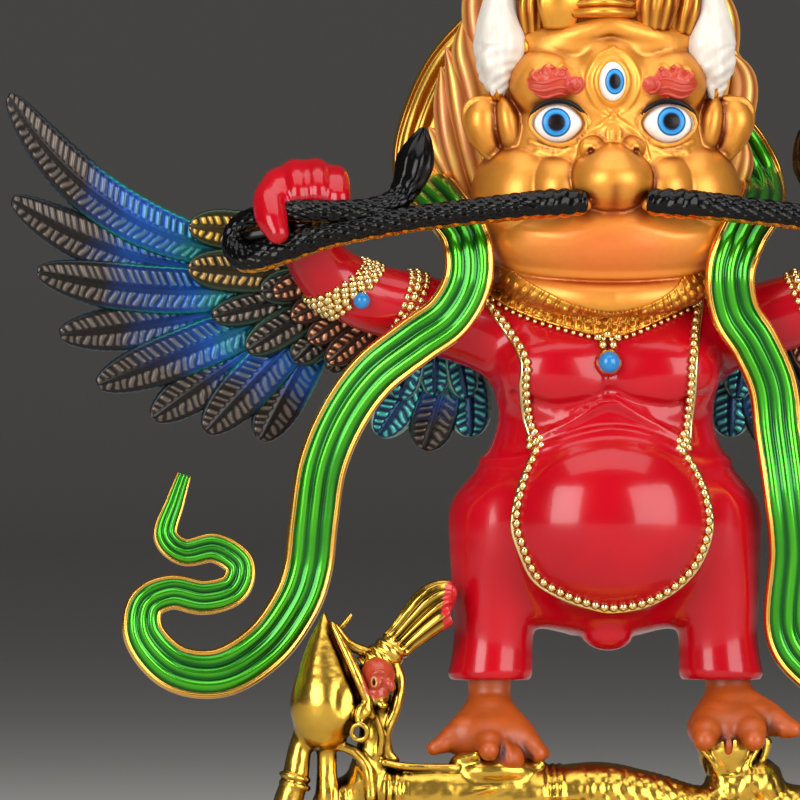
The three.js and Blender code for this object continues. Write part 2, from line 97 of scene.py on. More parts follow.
def mesh_object(name, points, faces, material, **values):
    """A smooth-shaded mesh object at the origin from points in millimetres and faces of equal length. Its material
    may read the named values, one a point."""
    points = np.asarray(points, dtype=np.float32) * MM
    faces = np.asarray(faces, dtype=np.int32)
    mesh = bpy.data.meshes.new(name)
    mesh.vertices.add(len(points))
    mesh.vertices.foreach_set("co", points.ravel())
    mesh.loops.add(faces.size)
    mesh.loops.foreach_set("vertex_index", faces.ravel())
    mesh.polygons.add(len(faces))
    mesh.polygons.foreach_set("loop_start", np.arange(0, faces.size, faces.shape[1], dtype=np.int32))
    mesh.polygons.foreach_set("use_smooth", np.full(len(faces), True))
    mesh.update(calc_edges=True)
    mesh.validate()
    mesh.materials.append(material)
    for key, value in values.items():
        mesh.attributes.new(key, "FLOAT", "POINT").data.foreach_set("value", np.asarray(value, dtype=np.float32))
    made = bpy.data.objects.new(name, mesh)
    bpy.context.scene.collection.objects.link(made)
    return made


def make_stage():
    """The floor's profile runs forward flat, then bends up by a quarter circle of `bend` into the backdrop."""
    bend, depth_front, depth_back, half_width, height = 600.0, 2500.0, 6200.0, 4500.0, 3200.0
    turn = np.linspace(0, math.pi / 2, 24)
    y = np.concatenate([[-depth_front], depth_back + bend * np.sin(turn), [depth_back + bend]])
    z = np.concatenate([[0.0], bend - bend * np.cos(turn), [height]])
    x = np.array([-half_width, half_width])
    points = np.array([[xi, yi, zi] for yi, zi in zip(y, z) for xi in x])
    first = np.arange(len(y) - 1)[:, None] * 2
    paper = plain_paint("pale paper", "#D0CECA", 0.9)
    floor = mesh_object("floor", points, first + np.array([0, 1, 3, 2]), paper)


def soft_light(name, place, aim, size, watts):
    """A rectangular softbox at place, turned to aim."""
    light = bpy.data.lights.new(name, "AREA")
    light.shape = "RECTANGLE"
    light.size, light.size_y = size
    light.energy = watts
    made = bpy.data.objects.new(name, light)
    made.location = place
    made.rotation_euler = (Vector(aim) - Vector(place)).to_track_quat("-Z", "Y").to_euler()
    bpy.context.scene.collection.objects.link(made)


make_stage()
soft_light("softbox left", (-0.62, -0.75, 0.34), (0, 0, 0.09), (0.5, 0.68), 8.2)
soft_light("softbox right", (0.6, -0.72, 0.32), (0, 0, 0.09), (0.72, 0.66), 8.0)
soft_light("overhead", (0.0, -0.15, 0.8), (0, 0, 0.05), (0.9, 0.7), 4.8)
world = bpy.data.worlds.new("studio")
world.use_nodes = True
fill(world.node_tree, world.node_tree.nodes["Background"], {"Color": linear("#B4B2B0"), "Strength": 0.17})
bpy.context.scene.world = world
bpy.context.scene.view_settings.view_transform = "Standard"

camera_data = bpy.data.cameras.new("camera")
camera_data.sensor_width = SENSOR_WIDTH
camera_data.lens = SENSOR_WIDTH * CAMERA_DISTANCE / (PHOTO_PIXELS * PHOTO_MM_PER_PIXEL * MM)
camera = bpy.data.objects.new("camera", camera_data)
camera.location = AIM + CAMERA_DISTANCE * np.array([math.sin(CAMERA_AZIMUTH), -math.cos(CAMERA_AZIMUTH), 0.0])
camera.rotation_euler = (math.pi / 2, 0.0, CAMERA_AZIMUTH)
bpy.context.scene.collection.objects.link(camera)
bpy.context.scene.camera = camera

# The figure's coat and trousers. The garuda is one casting in zinc alloy, gilt all over, and its body, arms and
# legs are then flooded with glossy red enamel, so the folds show as soft swells under a wet-looking coat.
LEFT, RIGHT = -1, 1
FAR = 4.0



def smooth(stations, steps):
    """Rows of stations with `steps` rows a span between them, on a Catmull-Rom curve:
    half of 2 b + (c - a) t + (2 a - 5 b + 4 c - d) t^2 + (3 b - a - 3 c + d) t^3."""
    rows = np.asarray(stations, dtype=float)
    a, b = np.vstack([2 * rows[0] - rows[1], rows[:-2]]), rows[:-1]
    c, d = rows[1:], np.vstack([rows[2:], 2 * rows[-1] - rows[-2]])
    t = (np.arange(steps) / steps)[None, :, None]
    a, b, c, d = (part[:, None, :] for part in (a, b, c, d))
    curve = 0.5 * (2 * b + (c - a) * t + (2 * a - 5 * b + 4 * c - d) * t**2 + (3 * b - a - 3 * c + d) * t**3)
    return np.vstack([curve.reshape(-1, rows.shape[1]), rows[-1]])


def ball(x, y, z, centre, radii, lean=0.0):
    """Depth over an ellipsoid: k (k - 1) / g, where k is the distance from its centre in radii and g the slope."""
    px, py, pz = x - centre[0], y - centre[1], z - centre[2]
    if lean:
        px, pz = px * math.cos(lean) - pz * math.sin(lean), px * math.sin(lean) + pz * math.cos(lean)
    rx, ry, rz = radii
    k = np.sqrt((px / rx) ** 2 + (py / ry) ** 2 + (pz / rz) ** 2)
    g = np.sqrt((px / rx**2) ** 2 + (py / ry**2) ** 2 + (pz / rz**2) ** 2)
    return k * (k - 1) / np.maximum(g, 1e-6)


def limb(x, y, z, stations):
    """Depth over a bent tapering bar: the least, over short cones, of the distance to the axis less the radius."""
    rows = smooth(stations, 5)
    depth = 1e3
    for a, b in zip(rows[:-1], rows[1:]):
        run = b[:3] - a[:3]
        t = np.clip(((x - a[0]) * run[0] + (y - a[1]) * run[1] + (z - a[2]) * run[2]) / (run @ run), 0, 1)
        px, py, pz = x - a[0] - t * run[0], y - a[1] - t * run[1], z - a[2] - t * run[2]
        depth = np.minimum(depth, np.sqrt(px**2 + py**2 + pz**2) - (a[3] + t * (b[3] - a[3])))
    return depth


def stack(x, y, z, stations):
    """Depth over a stack of ovals (x, y, z, half width, half depth): (distance in ovals - 1) x the lesser half."""
    rows = smooth(stations, 8)
    rows = rows[np.argsort(rows[:, 2])]
    cx, cy, a, b = (np.interp(z, rows[:, 2], rows[:, i]) for i in (0, 1, 3, 4))
    wall = (np.sqrt(((x - cx) / a) ** 2 + ((y - cy) / b) ** 2) - 1) * np.minimum(a, b)
    low, high = rows[0, 2], rows[-1, 2]
    return np.maximum(wall, np.abs(z - (low + high) / 2) - (high - low) / 2)


def box_of(kind, args):
    """Lowest and highest corner of a form, with room for its melt."""
    rows = np.atleast_2d(np.asarray(args[0], dtype=float))
    reach = np.max(args[1]) if kind is ball else np.max(rows[:, 3:])
    return rows[:, :3].min(axis=0) - reach - FAR, rows[:, :3].max(axis=0) + reach + FAR


def melted(depth, other, melt):
    """Smooth union of two depths, or smooth cut if melt is below zero: they mix where they differ by less."""
    sign, melt = (-1.0 if melt < 0 else 1.0), abs(melt)
    share = np.clip(0.5 + 0.5 * (sign * depth - other) / melt, 0, 1)
    return sign * (sign * depth * (1 - share) + other * share - melt * share * (1 - share))


def depth_over(forms, x, y, z):
    """Depth of points over forms (melt, kind, *args) melted together in turn; a melt below zero cuts."""
    total = np.full(np.broadcast(x, y, z).shape, FAR)
    for melt, kind, *args in forms:
        total = melted(total, kind(x, y, z, *args), melt)
    return total


def cast(forms, pitch):
    """Points, quads and outward directions of the surface where the melted forms' depth is zero.
    The depth is sampled on a grid, meshed, and each point moved onto the surface along the depth's slope."""
    boxes = [box_of(kind, args) for _, kind, *args in forms]
    low = np.min([box[0] for box, form in zip(boxes, forms) if form[0] > 0], axis=0)
    high = np.max([box[1] for box, form in zip(boxes, forms) if form[0] > 0], axis=0)
    axes = [np.arange(a, b, pitch) for a, b in zip(low, high)]
    total = np.full([len(axis) for axis in axes], FAR, dtype=np.float32)
    for (melt, kind, *args), (a, b) in zip(forms, boxes):
        cells = tuple(slice(*np.searchsorted(axis, (a[i], b[i]))) for i, axis in enumerate(axes))
        x, y, z = np.meshgrid(*(axis[cell] for axis, cell in zip(axes, cells)), indexing="ij", sparse=True)
        total[cells] = melted(total[cells], kind(x, y, z, *args), melt)
    grid = openvdb.FloatGrid(FAR)
    grid.copyFromArray(np.clip(total, -3 * pitch, 3 * pitch))
    points, quads = grid.convertToQuads(0.0)
    points = points.astype(float) * pitch + [axis[0] for axis in axes]
    nudge = 0.02
    for _ in range(2):
        depth = depth_over(forms, *points.T)
        slope = np.stack(
            [depth_over(forms, *(points + nudge * np.eye(3)[i]).T) - depth for i in range(3)], axis=1
        ) / nudge
        square = np.maximum((slope**2).sum(axis=1, keepdims=True), 0.2)
        points -= np.clip(depth[:, None] * slope / square, -0.5 * pitch, 0.5 * pitch)
    outward = slope / np.sqrt(square)
    corners = points[quads]
    facing = np.cross(corners[:, 2] - corners[:, 0], corners[:, 3] - corners[:, 1])
    if (facing * outward[quads[:, 0]]).sum() < 0:
        quads = quads[:, ::-1]
    return points, quads, outward


def line_distance(x, z, stations):
    """Distance of points, seen from the front, to a smooth line of (x, z) stations."""
    rows = smooth(stations, 8)
    best = np.full(x.shape, 1e3)
    for a, b in zip(rows[:-1], rows[1:]):
        run = b - a
        t = np.clip(((x - a[0]) * run[0] + (z - a[1]) * run[1]) / (run @ run), 0, 1)
        best = np.minimum(best, np.hypot(x - a[0] - t * run[0], z - a[1] - t * run[1]))
    return best


def ridge(points, outward, stations, width):
    """Weight of a rounded ridge or groove along a line seen from the front: exp(-(distance / width)^2)."""
    away = line_distance(points[:, 0], points[:, 2], stations)
    return np.exp(-((away / width) ** 2)) * np.clip(-2 * outward[:, 1], 0, 1)


def front_of(forms, x, z):
    """The y of the forms' front at places (x, z), found by halving between a point in front and one inside."""
    y = np.linspace(-32, 4, 73)
    hit = depth_over(forms, x[:, None], y[None, :], z[:, None]) < 0
    first = np.where(hit.any(axis=1), hit.argmax(axis=1), len(y) - 1)
    out, inside = y[np.maximum(first - 1, 0)], y[first]
    for _ in range(12):
        middle = (out + inside) / 2
        solid = depth_over(forms, x, middle, z) < 0
        out, inside = np.where(solid, out, middle), np.where(solid, middle, inside)
    return (out + inside) / 2


trunk = [
    (0, 0.5, 43.4, 5, 4.5), (0, 0.5, 45.5, 11, 8), (0, 0.5, 51, 16.5, 10), (0, 0, 57.5, 20, 11.2),
    (0, -0.5, 64, 20.4, 11.4), (0, -0.8, 70, 18, 10.8), (0, -1, 76, 16.2, 10), (0, -1, 82, 17.2, 9.6),
    (0, -0.6, 88, 18.4, 8.8), (0, 0, 92, 15.5, 8), (0, 0, 95.5, 11, 8),
]
leg = [
    (10.5, 0, 68.5, 7, 7.5), (12.9, -0.3, 63.5, 9.6, 9.4), (14.8, -0.6, 57, 8.4, 8.8), (16.4, -1, 50, 6.8, 7.2),
    (16.9, -1, 43.5, 6.0, 6.4), (17.2, -1, 39.6, 6.15, 6.4), (17.4, -1, 37.8, 6.3, 6.5), (17.4, -1, 36.8, 5.9, 6.1),
]
arm = [
    (13, 0, 88.2, 6.3), (22, -1, 90.2, 5.8), (29, -1.8, 92.4, 5.4), (36, -2.8, 94.2, 5.1), (41.4, -4, 97, 4.8),
    (44.6, -6.6, 100.8, 4.3), (45.8, -9.5, 106, 4),
]


def mirrored(stations, side):
    """The stations on the left (-1) or right (1) of the figure."""
    rows = np.array(stations, dtype=float)
    rows[:, 0] *= side
    return rows


body_forms = [
    (1.0, stack, trunk),
    *((4.0, stack, mirrored(leg, side)) for side in (LEFT, RIGHT)),
    *((3.0, limb, mirrored(arm, side)) for side in (LEFT, RIGHT)),
    *((3.0, ball, (side * 7.8, -6.4, 83), (8.4, 5.4, 6)) for side in (LEFT, RIGHT)),
    (2.2, ball, (0, -6, 60.75), (16.2, 12.2, 14.6)),
    (2.5, ball, (0, -4.6, 43.6), (3.4, 2.8, 2.4)),
]
body_points, body_quads, body_outward = cast(body_forms, pitch=0.55)
chest_lines = [
    ([(-11.4, 72.8), (-6, 75.4), (-0.6, 78.5), (4.5, 76), (9.8, 73)], 0.65, 0.85),
    ([(-11, 71.4), (-5.6, 73.3), (0, 74.2), (5.6, 73.3), (11, 71)], 0.7, 0.45),
    ([(-0.6, 84), (-0.6, 81.6), (-0.6, 79.4)], 0.6, -0.75),
    ([(-14.5, 79.4), (-9, 77.7), (-3, 78.6), (-0.6, 80)], 0.8, -0.75),
    ([(14.5, 79.4), (9, 77.7), (3, 78.6), (0.6, 80)], 0.8, -0.75),
]
for stations, width, height in chest_lines:
    body_points = body_points + (height * ridge(body_points, body_outward, stations, width))[:, None] * body_outward


def place_on(tree):
    """Where a point lies on the object, so that a texture stays with it."""
    return add_node(tree, "ShaderNodeTexCoord").outputs["Object"]


def clouds(tree, where, scale, detail=2.0):
    """A noise value, cloudy round 0.5."""
    return add_node(tree, "ShaderNodeTexNoise", {"Vector": where, "Scale": scale, "Detail": detail}).outputs["Fac"]


def mix(tree, amount, a, b):
    """Colour a where the amount is 0, b where it is 1; a hex colour is turned linear."""
    a, b = (linear(colour) if isinstance(colour, str) else colour for colour in (a, b))
    return add_node(tree, "ShaderNodeMix", {"Factor": amount, "A": a, "B": b}, data_type="RGBA").outputs[2]


def bump(tree, height, strength, distance, **normal):
    """A normal bent by a height value."""
    sockets = {"Height": height, "Strength": strength, "Distance": distance, **normal}
    return add_node(tree, "ShaderNodeBump", sockets).outputs["Normal"]


def red_enamel():
    """Gloss enamel paint flooded over gilding: deep red, a clear top coat, slightly uneven."""
    material, tree, shader = new_material("red gloss enamel")
    where = place_on(tree)
    fill(tree, shader, {
        "Base Color": mix(tree, clouds(tree, where, 90.0), "#96000F", "#BE0419"),
        "Normal": bump(tree, clouds(tree, where, 260.0, 1.0), 0.12, 0.0004),
        "Roughness": 0.22, "Specular IOR Level": 0.25, "Coat Weight": 0.3, "Coat Roughness": 0.08,
    })
    return material


coat_paint = red_enamel()
coat = mesh_object("coat_and_trousers", body_points, body_quads, coat_paint)
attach(coat, "root")
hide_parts("garuda")

# The head. It is part of the same casting, brushed with a satin gold paint, its creases darkened as painted shade and
# its raised lines lightened as painted highlight: a broad skull on a pouch of a jaw, a hooked bulb of a beak, lobed
# cheeks, leaf-like ears, and a raised third eye.


def rim(centre, half_width, half_height, radius, y, bulge=0.0, corners=14):
    """Stations of a closed almond ring seen from the front: (a cos t, b sin t), its ends drawn out by bulge."""
    t = np.linspace(0, 2 * math.pi, corners + 1)
    x = half_width * np.cos(t)
    z = half_height * np.sin(t) * (1 - bulge * np.cos(t) ** 2)
    return np.stack([centre[0] + x, y + 0 * t, centre[1] + z, radius + 0 * t], axis=1)


def oval_ring(a, b, z, tilt, radius, corners=20):
    """Stations of a closed ring round the neck: (a sin t, -b cos t), dipping by `tilt` at the front."""
    t = np.linspace(0, 2 * math.pi, corners + 1)
    return np.stack([a * np.sin(t), -b * np.cos(t), z - tilt * np.cos(t), radius + 0 * t], axis=1)


skull = [
    (0, 0, 92.5, 11, 9), (0, -0.5, 97.2, 14.4, 11.4), (0, -1, 101.5, 17.9, 13), (0, -1, 108, 18.8, 13.2),
    (0, -0.5, 116, 18.0, 12.6), (0, 0, 124, 16.6, 12), (0, 0.5, 130.5, 14.8, 11), (0, 1.5, 137, 11, 9),
]
head_forms = [
    (1.0, stack, skull),
    (2.5, ball, (0, -6.2, 102.6), (17.6, 9.6, 7.2)),
    (1.0, ball, (0, -4.6, 126), (13.6, 8.0, 7.0)),
    (0.6, ball, (-0.2, -8.4, 126.6), (5.9, 5.2, 6.9)),
    (0.5, limb, [(-13.4, -4.6, 132.4, 1.7), (-7, -8.6, 133.0, 1.75), (-3.2, -9.8, 133.9, 1.75),
                 (-0.3, -10.1, 134.7, 1.75), (2.8, -9.8, 133.9, 1.75), (7, -8.6, 133.0, 1.75),
                 (13, -4.6, 132.4, 1.7)]),
    (0.7, ball, (-0.3, -5.6, 131.6), (12.6, 5.6, 3)),
    (0.8, ball, (-0.2, -11.0, 118.6), (2.6, 2.6, 2.6)),
    (0.35, ball, (-0.35, -12.4, 111.5), (6.5, 7.2, 5.0)),
    (1.6, ball, (-0.3, -13.4, 114.4), (3.4, 4, 2.6)),
    (0.6, limb, oval_ring(14.8, 11.4, 98.4, 4.6, 2.7)),
]
for side in (LEFT, RIGHT):
    head_forms += [
        (0.5, ball, (side * 8.9 - 0.3, -6.6, 126.0), (6.0, 5.6, 5.8)),
        (0.3, ball, (side * 7.9, -4.6, 110.2), (6.5, 10.4, 7.0), -side * 0.28),
        (0.25, ball, (side * 12.2, -2.2, 109.4), (8.2, 10.6, 9.4), -side * 0.25),
        (0.5, ball, (side * 3.0 - 0.2, -12.6, 116.5), (1.9, 2.6, 1.7), side * 0.5),
        (-0.2, ball, (side * 3.5 - 0.2, -15.3, 115.9), (0.6, 1.0, 0.42), side * 0.6),
        (0.5, ball, (side * 8.3, -10.2, 126.1), (4.5, 2.6, 2.5), side * 0.16),
        (-0.7, ball, (side * 8.2, -13.4, 120.1), (4.6, 3.2, 3.3)),
        (0.35, limb, rim((side * 8.2, 120.1), 4.3, 3.25, 0.34, -12.2, 0.2)),
        (0.5, limb, mirrored([(18.4, -4.6, 122.4, 2.2), (19.0, -4.8, 120.6, 2.8), (18.4, -5, 117.8, 2.1),
                              (17.2, -5, 115.4, 1.1), (16.8, -5, 114.3, 0.4)], side)),
        (0.3, limb, mirrored([(17.4, -6.2, 123.9, 0.45), (20.7, -5.4, 123.5, 0.5), (21.7, -5, 121.2, 0.5),
                              (20.6, -5.4, 117.8, 0.5), (18.2, -5.6, 115, 0.4)], side)),
        (0.3, ball, (side * 15.1, -6.2, 119.8), (2.0, 2.7, 4.5), side * 0.2),
        (0.3, ball, (side * 4.8, -17.2, 107.9), (1.1, 1.2, 1)),
    ]
head_points, head_quads, head_outward = cast(head_forms, pitch=0.38)
head_lines = [
    ([(0, 121), (-2.6, 123), (-3.9, 126.4), (-2.4, 129.8), (0, 131.2)], 0.3, 0.3),
    ([(0, 121), (2.6, 123), (3.9, 126.4), (2.4, 129.8), (0, 131.2)], 0.3, 0.3),
    (rim((-0.2, 126.3), 2.4, 3.3, 0, 0, 0.2)[:, [0, 2]], 0.3, 0.3),
    ([(-5.2, 114.6), (-4.2, 118), (-1.6, 120), (0, 121), (0.9, 121.8)], 0.34, 0.4),
    ([(5.2, 114.6), (4.2, 118), (1.6, 120), (0, 121), (-0.9, 121.8)], 0.34, 0.4),
    ([(-0.8, 119.0), (-0.8, 116.8)], 0.3, 0.3),
    ([(0.8, 119.0), (0.8, 116.8)], 0.3, 0.3),
    ([(-0.3, 110.2), (-0.3, 108.6), (-0.3, 107.4)], 0.85, -0.2),
    ([(-17.7, 106), (-12, 103.8), (-6.9, 103.2), (-3, 104.4), (0.6, 105.2), (4.2, 104.4), (9.2, 103.2), (13.4, 103.9),
      (17.2, 105.9)], 0.9, 0.2),
    ([(-18.6, 99.8), (-12, 97.9), (0, 97.2), (12, 97.9), (18.6, 99.8)], 0.5, 0.35),
]
for side in (LEFT, RIGHT):
    t = np.linspace(0, 3.4 * math.pi, 22)
    spiral = np.stack([side * 5.7 + 0.11 * t * np.cos(t), 125.9 + 0.11 * t * np.sin(t)], axis=1)
    head_lines += [
        (spiral, 0.26, 0.55),
        ([(side * 5.6, 117.4), (side * 8.8, 116.4), (side * 12.2, 117.4)], 0.26, 0.3),
        ([(side * 5.4, 116.6), (side * 8.6, 115.4), (side * 11.4, 116)], 0.24, 0.24),
        ([(side * 7.6, 128.7), (side * 8.4, 127.9), (side * 7.8, 127.4)], 0.3, 0.5),
        ([(side * 9.6, 128.7), (side * 10.3, 127.8), (side * 9.6, 127.3)], 0.3, 0.5),
        ([(side * 11.4, 128), (side * 12, 127), (side * 11.2, 126.6)], 0.3, 0.5),
    ]
head_lift = np.zeros(len(head_points))
for stations, width, height in head_lines:
    head_lift = head_lift + height * ridge(head_points, head_outward, stations, width)
head_points = head_points + head_lift[:, None] * head_outward


def hollow(forms, points, outward, reach):
    """How far a point lies in a crease, 0 to 1, for painted shade there: 1 - depth(point + reach x outward) / reach.
    """
    lifted = points + reach * outward
    return np.clip(1 - depth_over(forms, *lifted.T) / reach, 0, 1)


def attribute(tree, name):
    """The value that the mesh stores under a name."""
    return add_node(tree, "ShaderNodeAttribute", attribute_name=name).outputs["Fac"]


def reckon(tree, operation, *values, clamp=False):
    """The result of a Math node on the values."""
    return add_node(tree, "ShaderNodeMath", dict(enumerate(values)), operation=operation, use_clamp=clamp).outputs[0]


def spread(tree, value, low, high, to_low=0.0, to_high=1.0):
    """The value carried over from low .. high to to_low .. to_high, and held at the ends."""
    return add_node(tree, "ShaderNodeMapRange", {
        "Value": value, "From Min": low, "From Max": high, "To Min": to_low, "To Max": to_high,
    }).outputs[0]


def satin_gold(name, roughness, dark, bright, painted=(), metallic=1.0, dents=0.0):
    """Gold-pigmented lacquer on zinc: metallic, satin, darkened as painted shade in creases and where it turns away.
    `painted` lists (colour, mask socket maker) laid over it as matt paint, `dents` adds slow unevenness."""
    material, tree, shader = new_material(name)
    where = place_on(tree)
    grain = clouds(tree, where, 900.0, 3.0)
    # Painted shade: the gold darkens in creases and where the surface turns away from the view; the grain is its own.
    fine = reckon(tree, "MULTIPLY_ADD", grain, 0.2, attribute(tree, "hollow"))
    turned = add_node(tree, "ShaderNodeLayerWeight", {"Blend": 0.4}).outputs["Facing"]
    colour = mix(tree, reckon(tree, "MULTIPLY_ADD", turned, 0.55, fine, clamp=True), bright, dark)
    normal = bump(tree, grain, 0.1, 0.0002)
    if dents:
        normal = bump(tree, clouds(tree, where, 190.0), dents, 0.002, Normal=normal)
    metal = 1.0 if painted else metallic
    for paint, mask in painted:
        amount = mask(tree, where)
        colour = mix(tree, amount, colour, paint)
        metal = reckon(tree, "MULTIPLY", metal, spread(tree, amount, 0.0, 1.0, metallic, 0.0))
    fill(tree, shader, {"Base Color": colour, "Metallic": metal, "Normal": normal, "Roughness": roughness})
    return material


def oval_distance(tree, where, centre, radii):
    """Distance from an ellipse's centre (x, z) seen from the front, in radii, and the axes' sockets."""
    axes = add_node(tree, "ShaderNodeSeparateXYZ", {"Vector": where}).outputs
    x, z = (reckon(tree, "MULTIPLY_ADD", axes[axis], 1 / (r * MM), -c / r) for axis, c, r in zip("XZ", centre, radii))
    flat = add_node(tree, "ShaderNodeCombineXYZ", {"X": x, "Y": z}).outputs[0]
    return add_node(tree, "ShaderNodeVectorMath", {0: flat}, operation="LENGTH").outputs["Value"], axes


def ellipse_mask(cx, cz, rx, rz, ragged=0.15, front=-4.0, soft=0.04, most=1.0):
    """A mask maker: `most` within the ellipse (x, z) seen from the front, its edge soft or ragged by noise, and
    nothing on what lies further back than y = front."""

    def made(tree, where):
        """The mask's node value, for a point of the object."""
        away, axes = oval_distance(tree, where, (cx, cz), (rx, rz))
        rough = reckon(tree, "MULTIPLY_ADD", clouds(tree, where, 700.0), ragged, away)
        edge = spread(tree, rough, 1 + soft + ragged / 2, 1 - soft + ragged / 2, 0.0, most)
        return reckon(tree, "MULTIPLY", edge, reckon(tree, "LESS_THAN", axes["Y"], front * MM))

    return made


brow_paint = "#B02A1A"
brows = [
    (brow_paint, ellipse_mask(side * x, z, rx, rz, 0.35, soft=0.07, most=0.94))
    for side in (LEFT, RIGHT) for x, z, rx, rz in ((9.3, 126.2, 3.5, 2.4), (5.9, 125.8, 1.7, 1.35))
]
# A soft orange-red laid over the middle of the jaw.
jaw_orange = [("#C8481A", ellipse_mask(-0.6, 101, 12, 5.4, 0.2, soft=0.6, most=0.6))]
head_gold = satin_gold("satin gold with painted brows", 0.36, "#7A3406", "#E89A36", brows + jaw_orange, 0.86)
# Painted shade in the head's creases and grooves, and painted highlight on its raised lines.
head_hollow = hollow(head_forms, head_points, head_outward, 1.6) - 2.2 * head_lift
head = mesh_object("head", head_points, head_quads, head_gold, hollow=head_hollow)
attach(head, "root")
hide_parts("garuda")

# The eyes. Each is a convex white almond with painted rings: a dark pupil, a blue iris and its paler ring, and a
# stroke of black for the lashes. They are glossy enamel. The third eye stands upright in the middle of the brow.


def turns(sides):
    """The angles of so many places round a circle."""
    return np.linspace(0, 2 * math.pi, sides, endpoint=False)


def sphere(sides, rings):
    """The rings of a ball between its poles: sin u cos v, sin u sin v and cos u."""
    u, v = np.linspace(0, math.pi, rings + 1)[1:-1, None], turns(sides)
    return np.sin(u) * np.cos(v), np.sin(u) * np.sin(v), np.cos(u) + 0 * v


def eyeball(name, centre, radii, iris, iris_radii, corner=0.0):
    """An ellipsoid (rx sin u cos v, ry cos u, rz sin u sin v), facing -Y, painted in rings round the iris.
    Towards the `corner` side its height is drawn in by 0.4 (sin u cos v)^2."""
    x, z, y = sphere(40, 20)
    z = z * (1 - 0.4 * np.clip(corner * x, 0, 1) ** 2)
    grid = np.stack([x, -y, z], axis=2) * radii + centre
    pole = np.array([0, radii[1], 0])
    return mesh_object(name, *closed_tube(grid, centre - pole, centre + pole), eye_paint(name, iris, iris_radii))


def closed_tube(grid, first, last, *values, end=0.0):
    """Points and triangles of a tube of rings (rings, sides, 3), closed by a pole at each end, and its values a
    point, which are `end` at the poles."""
    rings, sides, _ = grid.shape
    points = np.vstack([grid.reshape(-1, 3), first, last])
    i, j = np.meshgrid(np.arange(rings - 1), np.arange(sides), indexing="ij")
    a, b = i * sides + j, i * sides + (j + 1) % sides
    c, d = a + sides, b + sides
    around = np.arange(sides)
    after = (around + 1) % sides
    pole_a, pole_b = rings * sides, rings * sides + 1
    last_ring = (rings - 1) * sides
    triangles = [
        np.stack([a, c, d], axis=-1).reshape(-1, 3), np.stack([a, d, b], axis=-1).reshape(-1, 3),
        np.stack([np.full(sides, pole_a), around, after], axis=-1),
        np.stack([np.full(sides, pole_b), last_ring + after, last_ring + around], axis=-1),
    ]
    values = [np.append(np.broadcast_to(value, (rings, sides)), [end, end]) for value in values]
    return points, np.vstack(triangles), *values


def ramp(tree, value, stops):
    """The colour at the value on a ramp of (place, hex colour) stops."""
    made = add_node(tree, "ShaderNodeValToRGB", {"Fac": value})
    elements = made.color_ramp.elements
    while len(elements) < len(stops):
        elements.new(1.0)
    for element, (place, colour) in zip(elements, stops):
        element.position = place
        element.color = linear(colour)
    return made.outputs["Color"]


def eye_paint(name, iris, iris_radii):
    """Enamel in rings round the iris' centre: pupil, dark ring, blue, paler ring, blue limb, white."""
    material, tree, shader = new_material(name + " enamel")
    away, _ = oval_distance(tree, place_on(tree), iris, iris_radii)
    rings = ramp(tree, reckon(tree, "MULTIPLY", away, 0.5), [
        (0.0, "#120C0A"), (0.245, "#120C0A"), (0.285, "#0E2C58"), (0.32, "#2379BA"), (0.42, "#3F9AD0"),
        (0.45, "#185E9C"), (0.49, "#155690"), (0.52, "#EAE5DC"),
    ])
    fill(tree, shader, {"Base Color": rings, "Roughness": 0.3, "Specular IOR Level": 0.2})
    return material


def tube(stations, sides, steps):
    """A tube along a smooth path of (x, y, z, half width, half depth), its section an ellipse whose depth lies
    along -Y: path + width x a cos t + depth x b sin t. Returns its rings (n, sides, 3), path, width and depth
    directions, and rows."""
    rows = smooth([tuple(s) + (s[3],) * (5 - len(s)) for s in map(tuple, stations)], steps)
    path = rows[:, :3]
    along = np.gradient(path, axis=0)
    along /= np.linalg.norm(along, axis=1, keepdims=True)
    front = np.array([0.0, -1.0, 0.0])
    depth = front - (along @ front)[:, None] * along
    depth /= np.linalg.norm(depth, axis=1, keepdims=True)
    width = np.cross(depth, along)
    t = turns(sides)
    grid = (
        path[:, None] + width[:, None] * (rows[:, 3, None] * np.cos(t))[..., None]
        + depth[:, None] * (rows[:, 4, None] * np.sin(t))[..., None]
    )
    return grid, path, width, depth, rows


def wire(stations, sides, steps):
    """Points and triangles of a plain tube, closed at its ends."""
    grid, path, *_ = tube(stations, sides, steps)
    return closed_tube(grid, path[0], path[-1])


def merged(parts):
    """Several (points, faces, values of the points) as one."""
    points, faces, *values = zip(*parts)
    starts = np.cumsum([0] + [len(part) for part in points])
    return np.vstack(points), np.vstack([f + n for f, n in zip(faces, starts)]), *map(np.concatenate, values)


def lash(side):
    """A stroke from the inner corner of an eye over its top to the outer corner, thick in the middle."""
    t = np.linspace(0.06, 0.97, 14) * math.pi
    x = side * (8.25 - 4.35 * np.cos(t))
    z = 120.1 + 3.3 * np.sin(t) * (1 - 0.12 * (np.cos(t) > 0) * np.cos(t) ** 2)
    y = -12.7 + 0.03 * (np.abs(x) - 8.2) ** 2
    r = 0.1 + 0.32 * np.sin((t - t[0]) / (t[-1] - t[0]) * math.pi) ** 0.7
    return wire(np.stack([x, y, z, r, 0.8 * r], axis=1), 8, 3)


eyes = [
    eyeball("eye_left", (-8.25, -10.4, 120.1), (4.05, 2.9, 3.15), (-8.6, 120.2), (2.17, 2.17), 1),
    eyeball("eye_right", (8.25, -10.4, 120.1), (4.05, 2.9, 3.15), (8.7, 120.4), (2.17, 2.17), -1),
    eyeball("third_eye", (-0.2, -13.5, 126.3), (2.0, 1.5, 2.95), (0.0, 126.3), (1.45, 1.95)),
]
lashes = merged([lash(side) for side in (LEFT, RIGHT)])
eyes.append(mesh_object("lashes", *lashes, plain_paint("black enamel", "#0A0807", 0.35, 0.2)))
for eye in eyes:
    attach(eye, "root")
    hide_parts("garuda")

